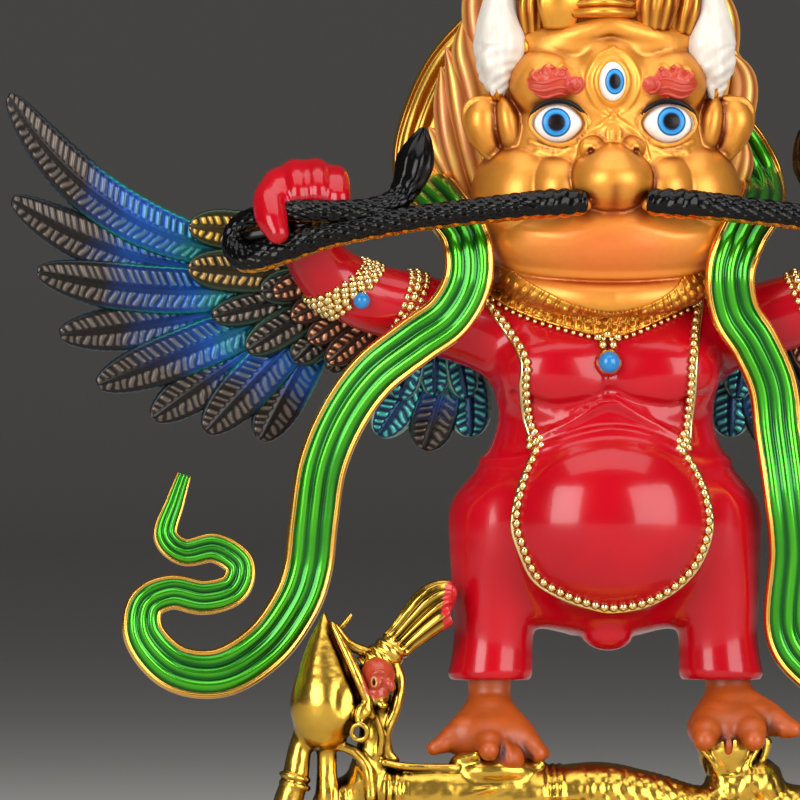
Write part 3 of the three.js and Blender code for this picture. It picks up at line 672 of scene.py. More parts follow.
# The brows' hair. On either red brow a curl at the inner end, smaller curls along the top and waves between them
# stand up from the paint, in the same matt red.
BROW_SPIRALS = (
    (5.7, 125.8, 1.25, 1.7, 0.4), (7.7, 127.6, 0.75, 1.2, 2.6), (9.7, 128.0, 0.75, 1.2, 2.8),
    (11.6, 127.2, 0.75, 1.2, 2.4),
)
BROW_WAVES = ((6.8, 126.6, 12.4, 126.2), (6.6, 125.2, 12.6, 125.2), (7, 124.3, 11.6, 124.2))


def brow_curls(side):
    """Spirals r (1 - 0.8 s) wide at each curl, and waves 0.25 sin 7s between two places, as thin round wires."""
    wires = []
    s = np.linspace(0, 1, 26)
    for cx, cz, r, rounds, start in BROW_SPIRALS:
        t, reach = start - 2 * math.pi * rounds * s, r * (1 - 0.8 * s)
        wires.append((side * (cx + reach * np.cos(t)), cz + reach * np.sin(t), 0.36 - 0.1 * s))
    s = np.linspace(0, 1, 20)
    for x0, z0, x1, z1 in BROW_WAVES:
        z = z0 + s * (z1 - z0) + 0.25 * np.sin(7 * s)
        wires.append((side * (x0 + s * (x1 - x0)), z, 0.34 * np.sin(math.pi * (0.06 + 0.88 * s))))
    return merged([
        wire(np.stack([x, front_of(head_forms, x, z), z, r, 0.9 * r], axis=1), 10, 2) for x, z, r in wires
    ])


brow_red, tree, shader = new_material("matt red brow paint")
mottle = clouds(tree, place_on(tree), 700.0)
fill(tree, shader, {"Base Color": mix(tree, mottle, "#A42616", "#C64C38"), "Roughness": 0.5})
brow_hair = mesh_object("brow_curls", *merged([brow_curls(side) for side in (LEFT, RIGHT)]), brow_red)
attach(brow_hair, "root")
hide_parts("garuda")

# The horns. Two ox-like horns lean inward over the temples, brushed with a thick off-white enamel whose ragged
# lower edge leaves the gilding bare.
horn = [
    (16.3, -6.4, 123.6, 0.7), (16.4, -6.4, 126, 1.9), (16.4, -6.2, 128.6, 3.1), (15.8, -5.6, 131.4, 4.0),
    (15.9, -5, 134.6, 3.45), (15.7, -4.4, 138.8, 2.4), (14.9, -3.6, 143.5, 1.9), (13.3, -3, 148, 1.3),
    (11.4, -2.4, 151.6, 0.3),
]


def horn_mesh(side):
    """A tube with faint flutes and a frayed foot, moved 0.55 to the left: radius x (1 + 0.03 cos 7t
    + low (0.08 sin(3t + 1.7z) + 0.06 sin(5t - 4z))), low rising from 0 at z = 132 to 1 at z = 126."""
    grid, path, *_ = tube(mirrored(horn, side), 36, 8)
    t = turns(36)
    away = grid - path[:, None]
    z = path[:, 2:]
    frayed = np.clip((132 - z) / 6, 0, 1) * (0.08 * np.sin(3 * t + 1.7 * z) + 0.06 * np.sin(5 * t - 4 * z))
    grid = path[:, None] + away * (1 + 0.03 * np.cos(7 * t) + frayed)[..., None] - [0.55, 0, 0]
    return closed_tube(grid, path[0], path[-1])


def streaks(tree, where, across, along):
    """Noise drawn out upward, finer across than along."""
    drawn = add_node(tree, "ShaderNodeMapping", {"Vector": where, "Scale": (across, across, along)}).outputs[0]
    return clouds(tree, drawn, 1.0)


def horn_enamel():
    """Off-white gloss enamel over gilding; the paint stops at a noisy line above the horn's foot."""
    material, tree, shader = new_material("off-white enamel over gilt")
    where = place_on(tree)
    height = add_node(tree, "ShaderNodeSeparateXYZ", {"Vector": where}).outputs["Z"]
    noise = streaks(tree, where, 900.0, 160.0)
    edge = reckon(tree, "MULTIPLY_ADD", noise, -6 * MM, height)
    paint = spread(tree, edge, 121.3 * MM, 121.6 * MM)
    white = mix(tree, noise, "#DDD7CD", "#BDB2A4")
    fill(tree, shader, {
        "Base Color": mix(tree, paint, "#D98F2B", white), "Metallic": reckon(tree, "SUBTRACT", 1.0, paint),
        "Roughness": 0.3,
    })
    return material


horns = mesh_object("horns", *merged([horn_mesh(side) for side in (LEFT, RIGHT)]), horn_enamel())
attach(horns, "root")
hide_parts("garuda")

# The hair. Flaming locks sweep up behind the head, cast with lengthwise grooves and brushed in stripes of salmon
# and gold, with a curled tuft at the figure's left temple. The mass behind them is plainer.
HAIR_MASS = [
    (0, 4, 95, 9, 5), (-0.5, 6, 104, 17, 6.6), (-1, 7, 113, 20.6, 7.2), (-1, 7.4, 123, 21.6, 7.6),
    (-1, 7.2, 131.5, 20.4, 7.4), (-0.8, 7, 139.5, 16.6, 6.8), (-0.5, 6.6, 147, 10.6, 5.4),
    (0, 6.2, 152.5, 4.6, 3), (0, 6, 156, 0.4, 0.4),
]


def grooved(stations, sides, steps, grooves, depth):
    """A tube whose section is rippled: path + offset x (1 + depth cos(grooves t)); its value is high in the grooves,
    for painted shade there.
    """
    grid, path, *_ = tube(stations, sides, steps)
    t = turns(sides)
    ripple = 1 + depth * np.cos(grooves * t)
    grid = path[:, None] + (grid - path[:, None]) * ripple[None, :, None]
    return closed_tube(grid, path[0], path[-1], 0.5 - 0.5 * np.cos(grooves * t), end=0.5)


def lock(places, y, width, grooves=3):
    """One lock through places (x, z) from its foot to its tip: widest in its lower half, then drawn to a point."""
    share = np.linspace(0, 1, len(places))
    across = width * np.array([0.7 + 0.6 * s if s < 0.5 else 1 - ((s - 0.5) / 0.5) ** 2.4 for s in share]) + 0.12
    stations = [(x, y + 1.2 * abs(s - 0.4), z, w, 0.62 * w + 0.2) for (x, z), s, w in zip(places, share, across)]
    return grooved(stations, 36, 8, 2 * grooves, 0.075)


hair = [grooved(HAIR_MASS, 180, 8, 30, 0.035)]
left_locks = [
    ([(-19.6, 106), (-22.4, 112.6), (-24.6, 117), (-26.2, 119.8)], 3.4, 2.0),
    ([(-18.4, 106), (-21.2, 112.6), (-22.8, 118.6), (-23.6, 124.2), (-24.5, 128.8)], 2.0, 2.2),
    ([(-17.2, 107), (-19.4, 114), (-20.8, 121), (-22, 127), (-23.9, 131.8)], 1.0, 2.3),
    ([(-16, 109), (-17.8, 118), (-19.4, 126), (-20.9, 131.4), (-21.3, 136)], 0.4, 2.4),
    ([(-15, 120), (-17, 129), (-18.6, 135), (-18.7, 140.6), (-17, 146)], 0.4, 2.5),
    ([(-9, 136), (-12.6, 142), (-14, 147.4), (-13.4, 151.6)], 2.4, 2.6),
    ([(-5, 140), (-7.4, 146), (-7.8, 151), (-7.2, 154.8)], 2.4, 2.4),
    ([(-0.6, 142), (-1.2, 147), (-0.6, 152), (0.4, 156.2)], 2.2, 2.4),
]
right_locks = [
    ([(15.6, 112), (18.6, 117.6), (20.4, 123), (20.6, 127.6), (18.4, 131.6)], 0.8, 2.3),
    ([(15.2, 113), (17.8, 120), (19.6, 127), (19.2, 133)], 1.8, 2.3),
    ([(15, 118), (17.4, 128), (18, 136), (16.6, 143)], 2.4, 2.4),
    ([(13.4, 124), (15.8, 134), (16, 141), (13.8, 148.6)], 2.6, 2.5),
    ([(8, 137), (11.2, 143), (12.2, 148), (11.4, 152)], 2.4, 2.6),
    ([(4, 140), (6.2, 146), (7, 151), (6.4, 155)], 2.4, 2.4),
    ([(16.4, 106), (19.4, 110.6), (20.8, 115), (21.2, 119)], 2.6, 1.9),
]
hair += [lock(*one) for one in left_locks + right_locks]
hair_points, hair_faces, hair_shade = merged(hair)


def hair_paint():
    """Satin gold brushed with salmon on the ridges of the locks, darkened in their grooves as painted shade."""
    material, tree, shader = new_material("satin gold brushed with salmon")
    brushed = spread(tree, streaks(tree, place_on(tree), 420.0, 60.0), 0.42, 0.62)
    ridge_tone = mix(tree, brushed, "#F9C860", "#EE9C66")
    # Painted shade: darker in the locks' grooves.
    tone = mix(tree, attribute(tree, "hollow"), ridge_tone, "#A8561A")
    fill(tree, shader, {"Base Color": tone, "Metallic": 0.45, "Roughness": 0.42})
    return material


hair_piece = mesh_object("hair", hair_points, hair_faces, hair_paint(), hollow=hair_shade)
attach(hair_piece, "root")
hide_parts("garuda")

# The crown. A fluted plaque stands on a double bar over the headband, with smooth petal plates and curled leaves
# beside it, all satin gold.


def plate(stations, sides, steps, flutes, depth, rim_height=0.0):
    """A flat leaf: a tube whose front swells by depth x cos(flutes pi u), u = cos t, and in a rim at its edges."""
    grid, path, _, deep, rows = tube(stations, sides, steps)
    t = turns(sides)
    u = np.cos(t)
    front = np.clip(np.sin(t), 0, 1)
    swell = depth * np.cos(flutes * math.pi * u) + rim_height * np.exp(-((np.abs(u) - 0.86) / 0.1) ** 2)
    share = np.clip(rows[:, 3] / rows[:, 3].max(), 0, 1)[:, None]
    grid = grid + deep[:, None] * (share * (front * swell)[None, :])[..., None]
    # Painted shade in the flutes' valleys.
    shade = share * (0.5 - 0.5 * np.cos(flutes * math.pi * u)) * (flutes > 0)
    return closed_tube(grid, path[0], path[-1], shade)


crown = [
    plate([(-1.2, -9, 137, 3.4, 1.5), (-1.2, -10.4, 140.4, 4.4, 1.6), (-1, -9.8, 144.6, 4, 1.4),
           (-0.6, -8.8, 148.2, 2.2, 1), (0, -8.2, 150.4, 0.3, 0.3)], 72, 10, 5, 0.28),
    plate([(-5.4, -9.2, 136.6, 0.9, 1.6), (-1.2, -11.6, 136.8, 0.9, 1.7), (3, -9.2, 136.6, 0.9, 1.6)], 20, 8, 0, 0),
    plate([(-5.2, -9.4, 138, 0.7, 1.3), (-1.2, -11.5, 138.2, 0.7, 1.4), (2.8, -9.4, 138, 0.7, 1.3)], 20, 8, 0, 0),
    plate([(-7.6, -8.6, 134.6, 2.6, 1.6), (-7.8, -9.6, 138.6, 3.4, 1.7), (-7.4, -9, 142.4, 2.6, 1.4),
           (-6.6, -8.2, 145.4, 0.3, 0.3)], 40, 8, 0, 0, 0.35),
    plate([(-11.6, -5.8, 133.6, 1.7, 1.4), (-11.8, -6.6, 138, 2.2, 1.6), (-11.2, -6, 142.6, 1.6, 1.2),
           (-10.4, -5, 146, 0.2, 0.2)], 40, 8, 3, 0.2),
    plate([(6.4, -9, 134.4, 2.6, 1.6), (6.8, -9.8, 138.6, 3.4, 1.7), (7.6, -9, 142.6, 2.5, 1.4),
           (9.4, -8.2, 146, 0.3, 0.3)], 40, 8, 4, 0.24),
    plate([(10.6, -6.6, 133.8, 2, 1.4), (11.2, -7.2, 137.6, 2.6, 1.6), (12.2, -6.6, 141.4, 1.8, 1.2),
           (13.8, -5.6, 144.4, 0.2, 0.2)], 40, 8, 3, 0.22),
]
for x, tall in ((-12.6, 2.2), (-13.4, 3), (12.4, 2.4), (13.6, 2.8)):
    crown.append(plate([(x, -6.8, 131, 0.8, 0.8), (x * 1.02, -7.2, 131 + 0.5 * tall, 0.6, 0.6),
                        (x * 1.06, -7, 131 + tall, 0.1, 0.1)], 10, 4, 0, 0))
crown_points, crown_faces, crown_shade = merged(crown)
gold_paint = satin_gold("satin gold", 0.36, "#7A3406", "#ECA43E", metallic=0.86)
crown_piece = mesh_object("crown", crown_points, crown_faces, gold_paint, hollow=crown_shade)
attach(crown_piece, "root")
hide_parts("garuda")

# The fists. They are part of the garuda's casting and share the coat's red enamel: on either side four fingers close
# over the snake, with a thumb beside them.
fist_forms = []
for side in (LEFT, RIGHT):
    fist_forms += [
        (1.5, ball, (side * 45.9, -9.2, 109.9), (6.3, 4.8, 4.6)),
        (1.5, limb, mirrored([(45.4, -7.4, 102, 3.6), (46, -9, 107, 4)], side)),
    ]
    for x, top, low in ((41.4, 112.0, 107.6), (44.4, 113.0, 107.0), (47.5, 112.8, 107), (50.3, 111.4, 107.2)):
        fist_forms.append((0.9, limb, mirrored(
            [(x, -6, top - 1.4, 1.6), (x, -9, top, 1.85), (x, -12.4, top - 0.8, 1.9), (x, -14.6, top - 3, 1.8),
             (x - 0.3, -14.2, low, 1.6)], side)))
    fist_forms.append((0.6, limb, mirrored(
        [(50.4, -10.4, 110.6, 2.3), (51.6, -14, 108.6, 2.5), (51.6, -16.8, 106, 2.4), (50.8, -18.4, 103.6, 1.7)],
        side)))
fist_points, fist_quads, _ = cast(fist_forms, pitch=0.4)
fists = mesh_object("fists", fist_points, fist_quads, coat_paint)
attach(fists, "root")
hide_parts("garuda")

# The snake. A black-painted snake with raised scales comes from each corner of the beak, loops under and round
# the fist, and ends in a leaf-shaped tail held upright. Its underside is left gold.
SNAKE = [
    (4.9, -16.6, 108.3, 1.7), (8, -17.4, 108.1, 1.95), (12.6, -17.4, 107.8, 2.0), (20, -16.8, 107, 1.9),
    (29, -16.4, 105.9, 1.85), (37.4, -16.6, 104.6, 1.95), (44, -16.6, 103.2, 2.1), (50.4, -15.6, 101, 2.2),
    (54.6, -13.4, 99.8, 2.1), (56.6, -11, 101.6, 1.8), (55.8, -10.6, 104.6, 1.7), (52, -13.6, 106.4, 1.6),
    (47.4, -16.2, 106.8, 1.7), (42, -16.8, 106.6, 1.8), (36.6, -16, 107, 1.8), (32.6, -14.6, 108.6, 1.8),
    (30.6, -13.8, 111.6, 2.3), (29.7, -13.4, 114.4, 2.6), (28.9, -13, 117.2, 1.6), (28.4, -12.8, 119.4, 0.2),
]
SCALE_PITCH, SCALE_HEIGHT = 1.3, 0.36


def way_along(path):
    """The way along a path at each of its points."""
    return np.concatenate([[0], np.cumsum(np.linalg.norm(np.diff(path, axis=0), axis=1))])


def placed(rows, run, wanted):
    """Rows at the wanted ways along a path, between those at the ways `run`."""
    return np.stack([np.interp(wanted, run, rows[:, i]) for i in range(rows.shape[1])], axis=1)


def snake_mesh(side):
    """A round tube plus diamond scales: radius + h (|cos(k s + 5t) cos(k s - 5t)|^(1/2) - 0.5), s being the way
    along it. Its first 9 mm swell in coils 0.3 |sin(1.6 s + t)|, and the tail's last 7 mm bear only creases."""
    sides = 50
    rows = smooth(mirrored(SNAKE, side), 12)
    run = way_along(rows[:, :3])
    s = np.linspace(0, run[-1], max(int(run[-1] / (SCALE_PITCH / 6)), 2))
    grid, path, *_ = tube(placed(rows, run, s), sides, 1)
    s = s[:, None]
    t = turns(sides)[None, :]
    k = math.pi / (2 * SCALE_PITCH)
    scaly = np.clip((s[-1] - s - 7) / 6, 0, 1)
    scales = SCALE_HEIGHT * (np.sqrt(np.abs(np.cos(k * s + 5 * t) * np.cos(k * s - 5 * t))) - 0.5) * scaly
    coiled = 0.3 * np.abs(np.sin(1.6 * s + t)) * np.clip((9 - s) / 3, 0, 1)
    crease = (0.22 * np.cos(2 * t) + 0.14 * np.cos(7 * t)) * (1 - scaly)
    away = grid - path[:, None]
    length = np.linalg.norm(away, axis=2, keepdims=True)
    lift = scales * np.clip((s - 6) / 3, 0.2, 1) + coiled + crease
    grid = path[:, None] + away * (1 + lift[..., None] / np.maximum(length, 0.4))
    under = np.clip(-(away / np.maximum(length, 1e-3))[..., 2] * 6 - 4.3, 0, 1)
    return closed_tube(grid, path[0], path[-1], under)


def black_over_gilt():
    """Semi-gloss black enamel; gilding shows where the attribute "bare" is high and in specks."""
    material, tree, shader = new_material("black enamel over gilt")
    noise = clouds(tree, place_on(tree), 500.0, 3.0)
    gold = spread(tree, reckon(tree, "ADD", attribute(tree, "bare"), noise), 0.82, 0.95)
    fill(tree, shader, {
        "Base Color": mix(tree, gold, "#050404", "#D48C28"), "Metallic": gold, "Roughness": 0.2,
        "Specular IOR Level": 0.22,
    })
    return material


COILED_UP = [
    (55.6, -10.6, 102.8, 0.6), (54, -11.4, 103.2, 1.5), (50.6, -12.4, 103.8, 1.7), (46.6, -14, 104.8, 1.8),
    (42, -14.6, 105.2, 1.7), (38, -14.4, 105.6, 1.2), (35.6, -14.4, 106, 0.4),
]


def coil_mesh(side):
    """The part of the snake that lies between its two strands beside the fist: a plain tube."""
    points, faces = wire(mirrored(COILED_UP, side), 20, 5)
    return points, faces, np.zeros(len(points))


snake_points, snake_faces, snake_bare = merged([
    make(side) for side in (LEFT, RIGHT) for make in (snake_mesh, coil_mesh)
])
snake = mesh_object("snake", snake_points, snake_faces, black_over_gilt(), bare=snake_bare)
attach(snake, "root")
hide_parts("garuda")

# The scarf. A ribbon cast with lengthwise folds arches behind the head, comes forward over the arms, and curls up
# at its ends. Its folds are flooded with clear green enamel, lighter on the crests where it is thin and by painted
# highlight, darker where it lies deep and by painted shade, and its edges and the arch's top stay bare gold.
SCARF_W, SCARF_T = 3.75, 1.25
left_arch = [(27.4, 9, 113), (26.2, 14, 120), (21.4, 16.6, 129.6), (12, 17.6, 138)]
right_arch = [(24.2, 9, 112.5), (22.2, 12, 116.9), (19, 14.6, 121), (14.6, 16.4, 128), (8.6, 17.6, 136.4)]
left_drop = [
    (25, -3, 108.4), (22, -9.2, 103.4), (21.6, -10.6, 97), (24.4, -9.9, 91.4), (29.4, -9.3, 87.6), (35.6, -8, 82.6),
    (40, -6.4, 76.4), (43, -5, 69), (44.2, -4, 61), (45, -3, 53.6),
]
right_drop = [
    (23.4, -3, 108.6), (19.8, -10.2, 103.6), (17.6, -12.4, 98), (18.4, -11.4, 92), (21.6, -9.9, 87),
    (24.4, -8.4, 81), (25.4, -8, 74), (26.6, -9, 65), (27.6, -8, 56),
]
curl = [
    (47, -3, 48, 1), (51.4, -3, 42, 1), (58, -3, 38, 1), (64.8, -3, 38.6, 0.95), (69.4, -3, 43.2, 0.85),
    (69.4, -3, 48, 0.75), (65.6, -3, 50, 0.7), (60.6, -3, 49.2, 0.7), (56.2, -3.2, 50.6, 0.66),
    (55.4, -3.2, 54.2, 0.62), (59, -3.2, 56.6, 0.6), (63.6, -3, 56, 0.55), (66.4, -3, 58.6, 0.5),
    (65, -3, 63.4, 0.4), (63.6, -3, 67.6, 0.3),
]
CURL_SHIFT = (-19.8, -3, -3.9)


def scarf_stations():
    """The whole ribbon from the left end over the arch to the right end, as (x, y, z, half width)."""
    def on(side, rows):
        """The rows mirrored to a side, with their widths made full."""
        return [(side * row[0], *row[1:3], SCARF_W * (row[3] if len(row) > 3 else 1)) for row in rows]

    dx, dy, dz = CURL_SHIFT
    right_curl = [(x + dx, y + dy, z + dz, w) for x, y, z, w in curl]
    left = on(LEFT, left_arch[::-1] + left_drop + curl)
    right = on(RIGHT, right_arch[::-1] + right_drop + right_curl)
    return left[::-1] + [(-1, 17.8, 141.5, SCARF_W)] + right


def scarf_mesh():
    """A flat tube: half width x u across, u = cos t, and half thickness x |sin t|^(1/2) deep. Its front is raised by
    folds 0.85 |cos(1.5 pi u / 0.77)|^0.7 that wander slowly along it, and by a bead of 0.75 at either edge."""
    sides, steps = 72, 12
    stations = [(x, y, z, w, SCARF_T) for x, y, z, w in scarf_stations()]
    grid, path, width, deep, rows = tube(stations, sides, steps)
    t = turns(sides)
    u, v = np.cos(t), np.sin(t)
    front = v > 0
    half = rows[:, 3, None]
    scale = half / SCARF_W
    way = np.arange(len(path))[:, None] / steps
    wander = u + 0.05 * np.sin(0.9 * way + 1) * (1 - u**2)
    folds = np.where(np.abs(u) < 0.77, np.abs(np.cos(1.5 * math.pi * wander / 0.77)) ** 0.7, 0)
    folds = folds * (0.86 + 0.14 * np.cos(4 * u + 0.7 * way))
    edge = np.exp(-((np.abs(u) - 0.89) / 0.09) ** 2)
    thick = SCARF_T * np.sign(v) * np.abs(v) ** 0.5
    lift = np.where(front, -0.6 + 0.85 * folds + 0.75 * edge, 0.0) * np.abs(v) ** 0.3
    grid = path[:, None] + width[:, None] * (half * u)[..., None]
    grid = grid + deep[:, None] * ((thick + lift) * (0.35 + 0.65 * scale))[..., None]
    points, faces, ridges = closed_tube(grid, path[0], path[-1], folds)
    bare = np.tile(np.clip((np.abs(u) - 0.73) * 14, 0, 1), (len(path), 1))
    bare[:, ~front] = 1
    x, y, z = path.T
    bare[(y > 3) & ((z > 119.5) | ((x < 0) & (z > 110.6)))] = 1
    return points, faces, np.append(bare, [1, 1]), ridges


def green_enamel():
    """Clear green enamel pooled over gilding: a high "ridge" makes it lighter, as thin enamel and painted highlight,
    a low one darker, as deep enamel and painted shade; "bare" leaves gold.
    """
    material, tree, shader = new_material("green enamel over gilt")
    where = place_on(tree)
    # Lighter on fold crests and darker in the folds: partly the enamel's thickness, partly painted highlight and
    # shade.
    depth = reckon(tree, "MULTIPLY_ADD", clouds(tree, where, 160.0), 0.3, attribute(tree, "ridge"))
    green = ramp(tree, depth, [(0.2, "#03360A"), (0.62, "#0A6810"), (1.0, "#46B01C")])
    line = reckon(tree, "MULTIPLY_ADD", clouds(tree, where, 900.0), 0.35, attribute(tree, "bare"))
    gold = spread(tree, line, 0.6, 0.72)
    fill(tree, shader, {
        "Base Color": mix(tree, gold, green, "#EDB24A"), "Metallic": spread(tree, gold, 0.0, 1.0, 0.8, 1.0),
        "Roughness": 0.24, "Coat Weight": 0.3, "Coat Roughness": 0.05,
    })
    return material


scarf_points, scarf_faces, scarf_bare, scarf_ridge = scarf_mesh()
scarf = mesh_object("scarf", scarf_points, scarf_faces, green_enamel(), bare=scarf_bare, ridge=scarf_ridge)
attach(scarf, "root")
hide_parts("scarf")

# The wings. Each is one casting: a fan of long primaries, rows of short coverts over their roots, and copper and teal
# feathers beside the arm and body, all with raised shafts and engraved barbs. They are brushed brown-black at the
# tips, blue towards the roots and teal on the rims, with gold left on the upper coverts.
WING_Y = 7.6
WRIST = (-38, 97)
BARB_PITCH = 1.22


def feather(root, tip, y, half_width, bow=0.0, thick=0.95, barb=0.3, tone=0.0, sides=27):
    """One feather seen from the front, u across and s along it, half_width x w(s) wide and bowed by 4 bow s (1 - s):
    a flat shaft to |u| = 0.17, barbs (0.5 - 0.5 cos 2 pi p)^1.3 from there to |u| = 0.76, or 0.64 where the rim is
    broad, then a smooth rim with a faintly sawn edge; p is (s L - 0.45 |u| w) / pitch and a slow sine's wander."""
    root, tip = np.array(root, dtype=float), np.array(tip, dtype=float)
    reach = tip - root
    length = np.linalg.norm(reach)
    rings = max(int(length / BARB_PITCH * 4.6), 14)
    s = np.linspace(0.004, 0.996, rings)[:, None]
    u = np.concatenate([np.linspace(1, -1, sides), np.linspace(-1, 1, 9)[1:-1]])[None, :]
    v = np.sqrt(1 - u**2) * np.where(np.arange(u.size) < sides, 1, -1)
    width = half_width * (0.5 + 0.5 * np.sin(np.clip(s / 0.5, 0, 1) * math.pi / 2))
    width = width * np.sqrt(np.clip(1 - np.clip((s - 0.64) / 0.365, 0, 1) ** 2, 0, 1))
    phase = (s * length - 0.45 * np.abs(u) * width) / BARB_PITCH + 0.13 * np.sin(1.9 * s * length + 3 * u + root[0])
    saw = (0.5 - 0.5 * np.cos(2 * math.pi * phase)) ** 1.3
    serrated = width * (1 + 0.03 * (saw - 0.5) * (np.abs(u) > 0.8))
    off = 4 * bow * s * (1 - s)
    along = reach / length
    side = np.array([-along[1], along[0]])
    x = root[0] + s * reach[0] + off * length * side[0] + u * serrated * side[0]
    z = root[1] + s * reach[1] + off * length * side[1] + u * serrated * side[1]
    front = np.clip(v, 0, 1) ** 0.3
    room = np.clip(width / half_width, 0, 1)
    shaft = np.clip((0.17 - np.abs(u)) / 0.05, 0, 1)
    barbed = 0.64 if tone > 0.8 else 0.76
    barbs = saw * np.clip((np.abs(u) - 0.18) / 0.06, 0, 1) * np.clip((barbed - np.abs(u)) / 0.06, 0, 1)
    edge = 0.26 * np.exp(-(((np.abs(u) - 0.86) / 0.12) ** 2))
    body = thick * np.sign(v) * np.abs(v) ** 0.55 * (0.35 + 0.65 * room)
    yy = y - body - front * room * (barb * barbs + edge + 0.32 * shaft - 0.2)
    grid = np.stack([x + 0 * yy, yy, z + 0 * yy], axis=-1)
    dimmed = np.where(v > -0.5, 1, 0.4)
    values = [value * dimmed for value in (s, np.abs(u), barbs, tone)]
    points, faces, *values = closed_tube(grid, [root[0], y, root[1]], [tip[0], y, tip[1]], *values)
    if np.cross(side, along) > 0:
        faces = faces[:, ::-1]
    return points, faces, *values


PRIMARY_TIPS = [(-89.4, 124.5), (-88.8, 108.8), (-85, 98), (-81.6, 88.6), (-76, 81), (-67.6, 76), (-59.7, 74),
                (-51.4, 72.7)]
COVERTS = [
    ((-47, 103.4), (-62.2, 104.9), 3.1, 2), ((-45.6, 97.4), (-62.4, 98.6), 3.3, 1.5),
    ((-43, 95), (-58.8, 91.2), 2.6, 1), ((-41, 94), (-53.6, 86.2), 2.9, 1), ((-39, 92), (-46.4, 84.6), 2.9, 1),
    ((-36, 92), (-41, 83), 2.6, 1), ((-42, 100), (-54, 102.2), 2.6, 2), ((-41, 97), (-51.6, 95), 2.8, 1),
]
COPPER_FEATHERS = [
    ((-40.6, 98.2), (-49.8, 94.6), 2.2, 3), ((-38.6, 95.6), (-47, 91), 2.3, 3), ((-36.6, 93), (-44.4, 87.6), 2.3, 3),
    ((-34, 90.8), (-41.6, 84.4), 2.3, 3), ((-31, 89), (-38, 81.8), 2.3, 3), ((-28.4, 88.4), (-33.6, 81), 2.2, 3),
]
INNER_FEATHERS = [
    ((-20, 84), (-19.6, 73.2), 3.3, -1), ((-23, 83), (-26.8, 71.2), 3.5, 0.5), ((-26.4, 84), (-33.6, 73.4), 3.2, -1),
    ((-22, 87.6), (-20.4, 79), 2.4, -1), ((-25, 87.6), (-25.2, 79.4), 2.4, -1), ((-28, 87), (-30.6, 78.8), 2.4, -1),
    ((-30, 86.6), (-35.6, 78.6), 2.0, 2),
]


def wing_mesh(side):
    """All feathers of a wing and its leading edge as one mesh, with the values that its paint follows."""
    def turned(place):
        """A place in the wing's plane, on this side."""
        return (-side * place[0], place[1])

    made = []
    for i, tip in enumerate(PRIMARY_TIPS):
        share = i / (len(PRIMARY_TIPS) - 1)
        angle, reach = 2.86 + 1.29 * share, 11 - 5 * share
        root = (WRIST[0] + reach * math.cos(angle), WRIST[1] + reach * math.sin(angle))
        bow = side * -0.13 * (1 - share) ** 3
        made.append(feather(turned(root), turned(tip), WING_Y + 0.9 * (i % 2) - 0.5, 3.7, bow))
    for rows, forward, stagger, upper, step, thick in (
        (COVERTS, 1.9, 0.6, 6, 1.0, 0.9), (INNER_FEATHERS, 0.6, 0.5, 3, 1.2, 0.9),
        (COPPER_FEATHERS, 4.4, 0.4, 0, 0.0, 0.8),
    ):
        for i, (root, tip, half_width, tone) in enumerate(rows):
            y = WING_Y - forward - stagger * (i % 2) - step * (i >= upper)
            made.append(feather(turned(root), turned(tip), y, half_width, 0, thick, 0.34, tone, 25))
    edge = [(19, 8.4, 88, 4.2, 1.7), (27, 8.2, 88.8, 4.6, 1.9), (38, 7.8, 92.4, 4.8, 2.2), (47, 7.4, 97.8, 4.4, 2.2),
            (53, 7.2, 101.4, 2.4, 1.6), (56, 7.2, 103, 0.4, 0.4)]
    points, faces = wire(mirrored(edge, side), 24, 5)
    made.append((points, faces, *(np.full(len(points), value) for value in (0.2, 0.5, 0.5, 1.0))))
    return merged(made)


def feather_paint():
    """Semi-gloss brushed colours over gilding. "along" runs from root to tip, "edge" from shaft to rim, "barb" is
    high on a barb's crest, and "tone" is -1 on teal feathers, 0 on primaries, 1 on coverts, 2 on gilded coverts and
    3 on copper feathers."""
    material, tree, shader = new_material("brushed blue, teal and brown over gilt")
    along, edge, barb, tone = (attribute(tree, name) for name in ("along", "edge", "barb", "tone"))
    noise = clouds(tree, place_on(tree), 120.0, 3.0)
    place = reckon(tree, "MULTIPLY_ADD", noise, 0.42, reckon(tree, "MULTIPLY", along, 0.8))
    low = ramp(tree, place, [(0.38, "#0A5C68"), (0.5, "#0A4490"), (0.62, "#0A2C66"), (0.78, "#17110E")])
    high = ramp(tree, place, [(0.38, "#3A8A7C"), (0.5, "#426C86"), (0.62, "#50606E"), (0.78, "#5E5248")])
    # The barbs are lighter on their crests and darker in their grooves.
    crest = spread(tree, barb, 0.25, 0.85)
    teal = mix(tree, spread(tree, place, 0.6, 0.78), "#128476", "#1E3440")
    colour = mix(tree, spread(tree, edge, 0.86, 0.93), mix(tree, crest, low, high), teal)
    for tones, groove_colour, crest_colour, rim_edge, rim_paint in (
        ((0.3, 0.9), "#14100C", "#75665A", (0.66, 0.76), "#24382C"),
        ((1.2, 1.8), "#3A2E0C", "#E0AC3C", (0.72, 0.82), "#2E3E28"),
        ((-0.3, -0.9), "#0A3050", "#4FB8AC", (0.8, 0.9), "#8CB8A0"),
    ):
        blade = mix(tree, crest, groove_colour, crest_colour)
        blade = mix(tree, spread(tree, edge, *rim_edge), blade, rim_paint)
        colour = mix(tree, spread(tree, tone, *tones), colour, blade)
    colour = mix(tree, spread(tree, tone, 2.3, 2.8), colour, mix(tree, crest, "#33190C", "#D48E64"))
    fill(tree, shader, {"Base Color": colour, "Metallic": 0.55, "Roughness": 0.34})
    return material


wing_paint = feather_paint()
for side, name in ((LEFT, "wing_left"), (RIGHT, "wing_right")):
    wing_points, wing_faces, along, edge, barb, tone = wing_mesh(side)
    wing = mesh_object(name, wing_points, wing_faces, wing_paint, along=along, edge=edge, barb=barb, tone=tone)
    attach(wing, "root")
    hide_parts(name)
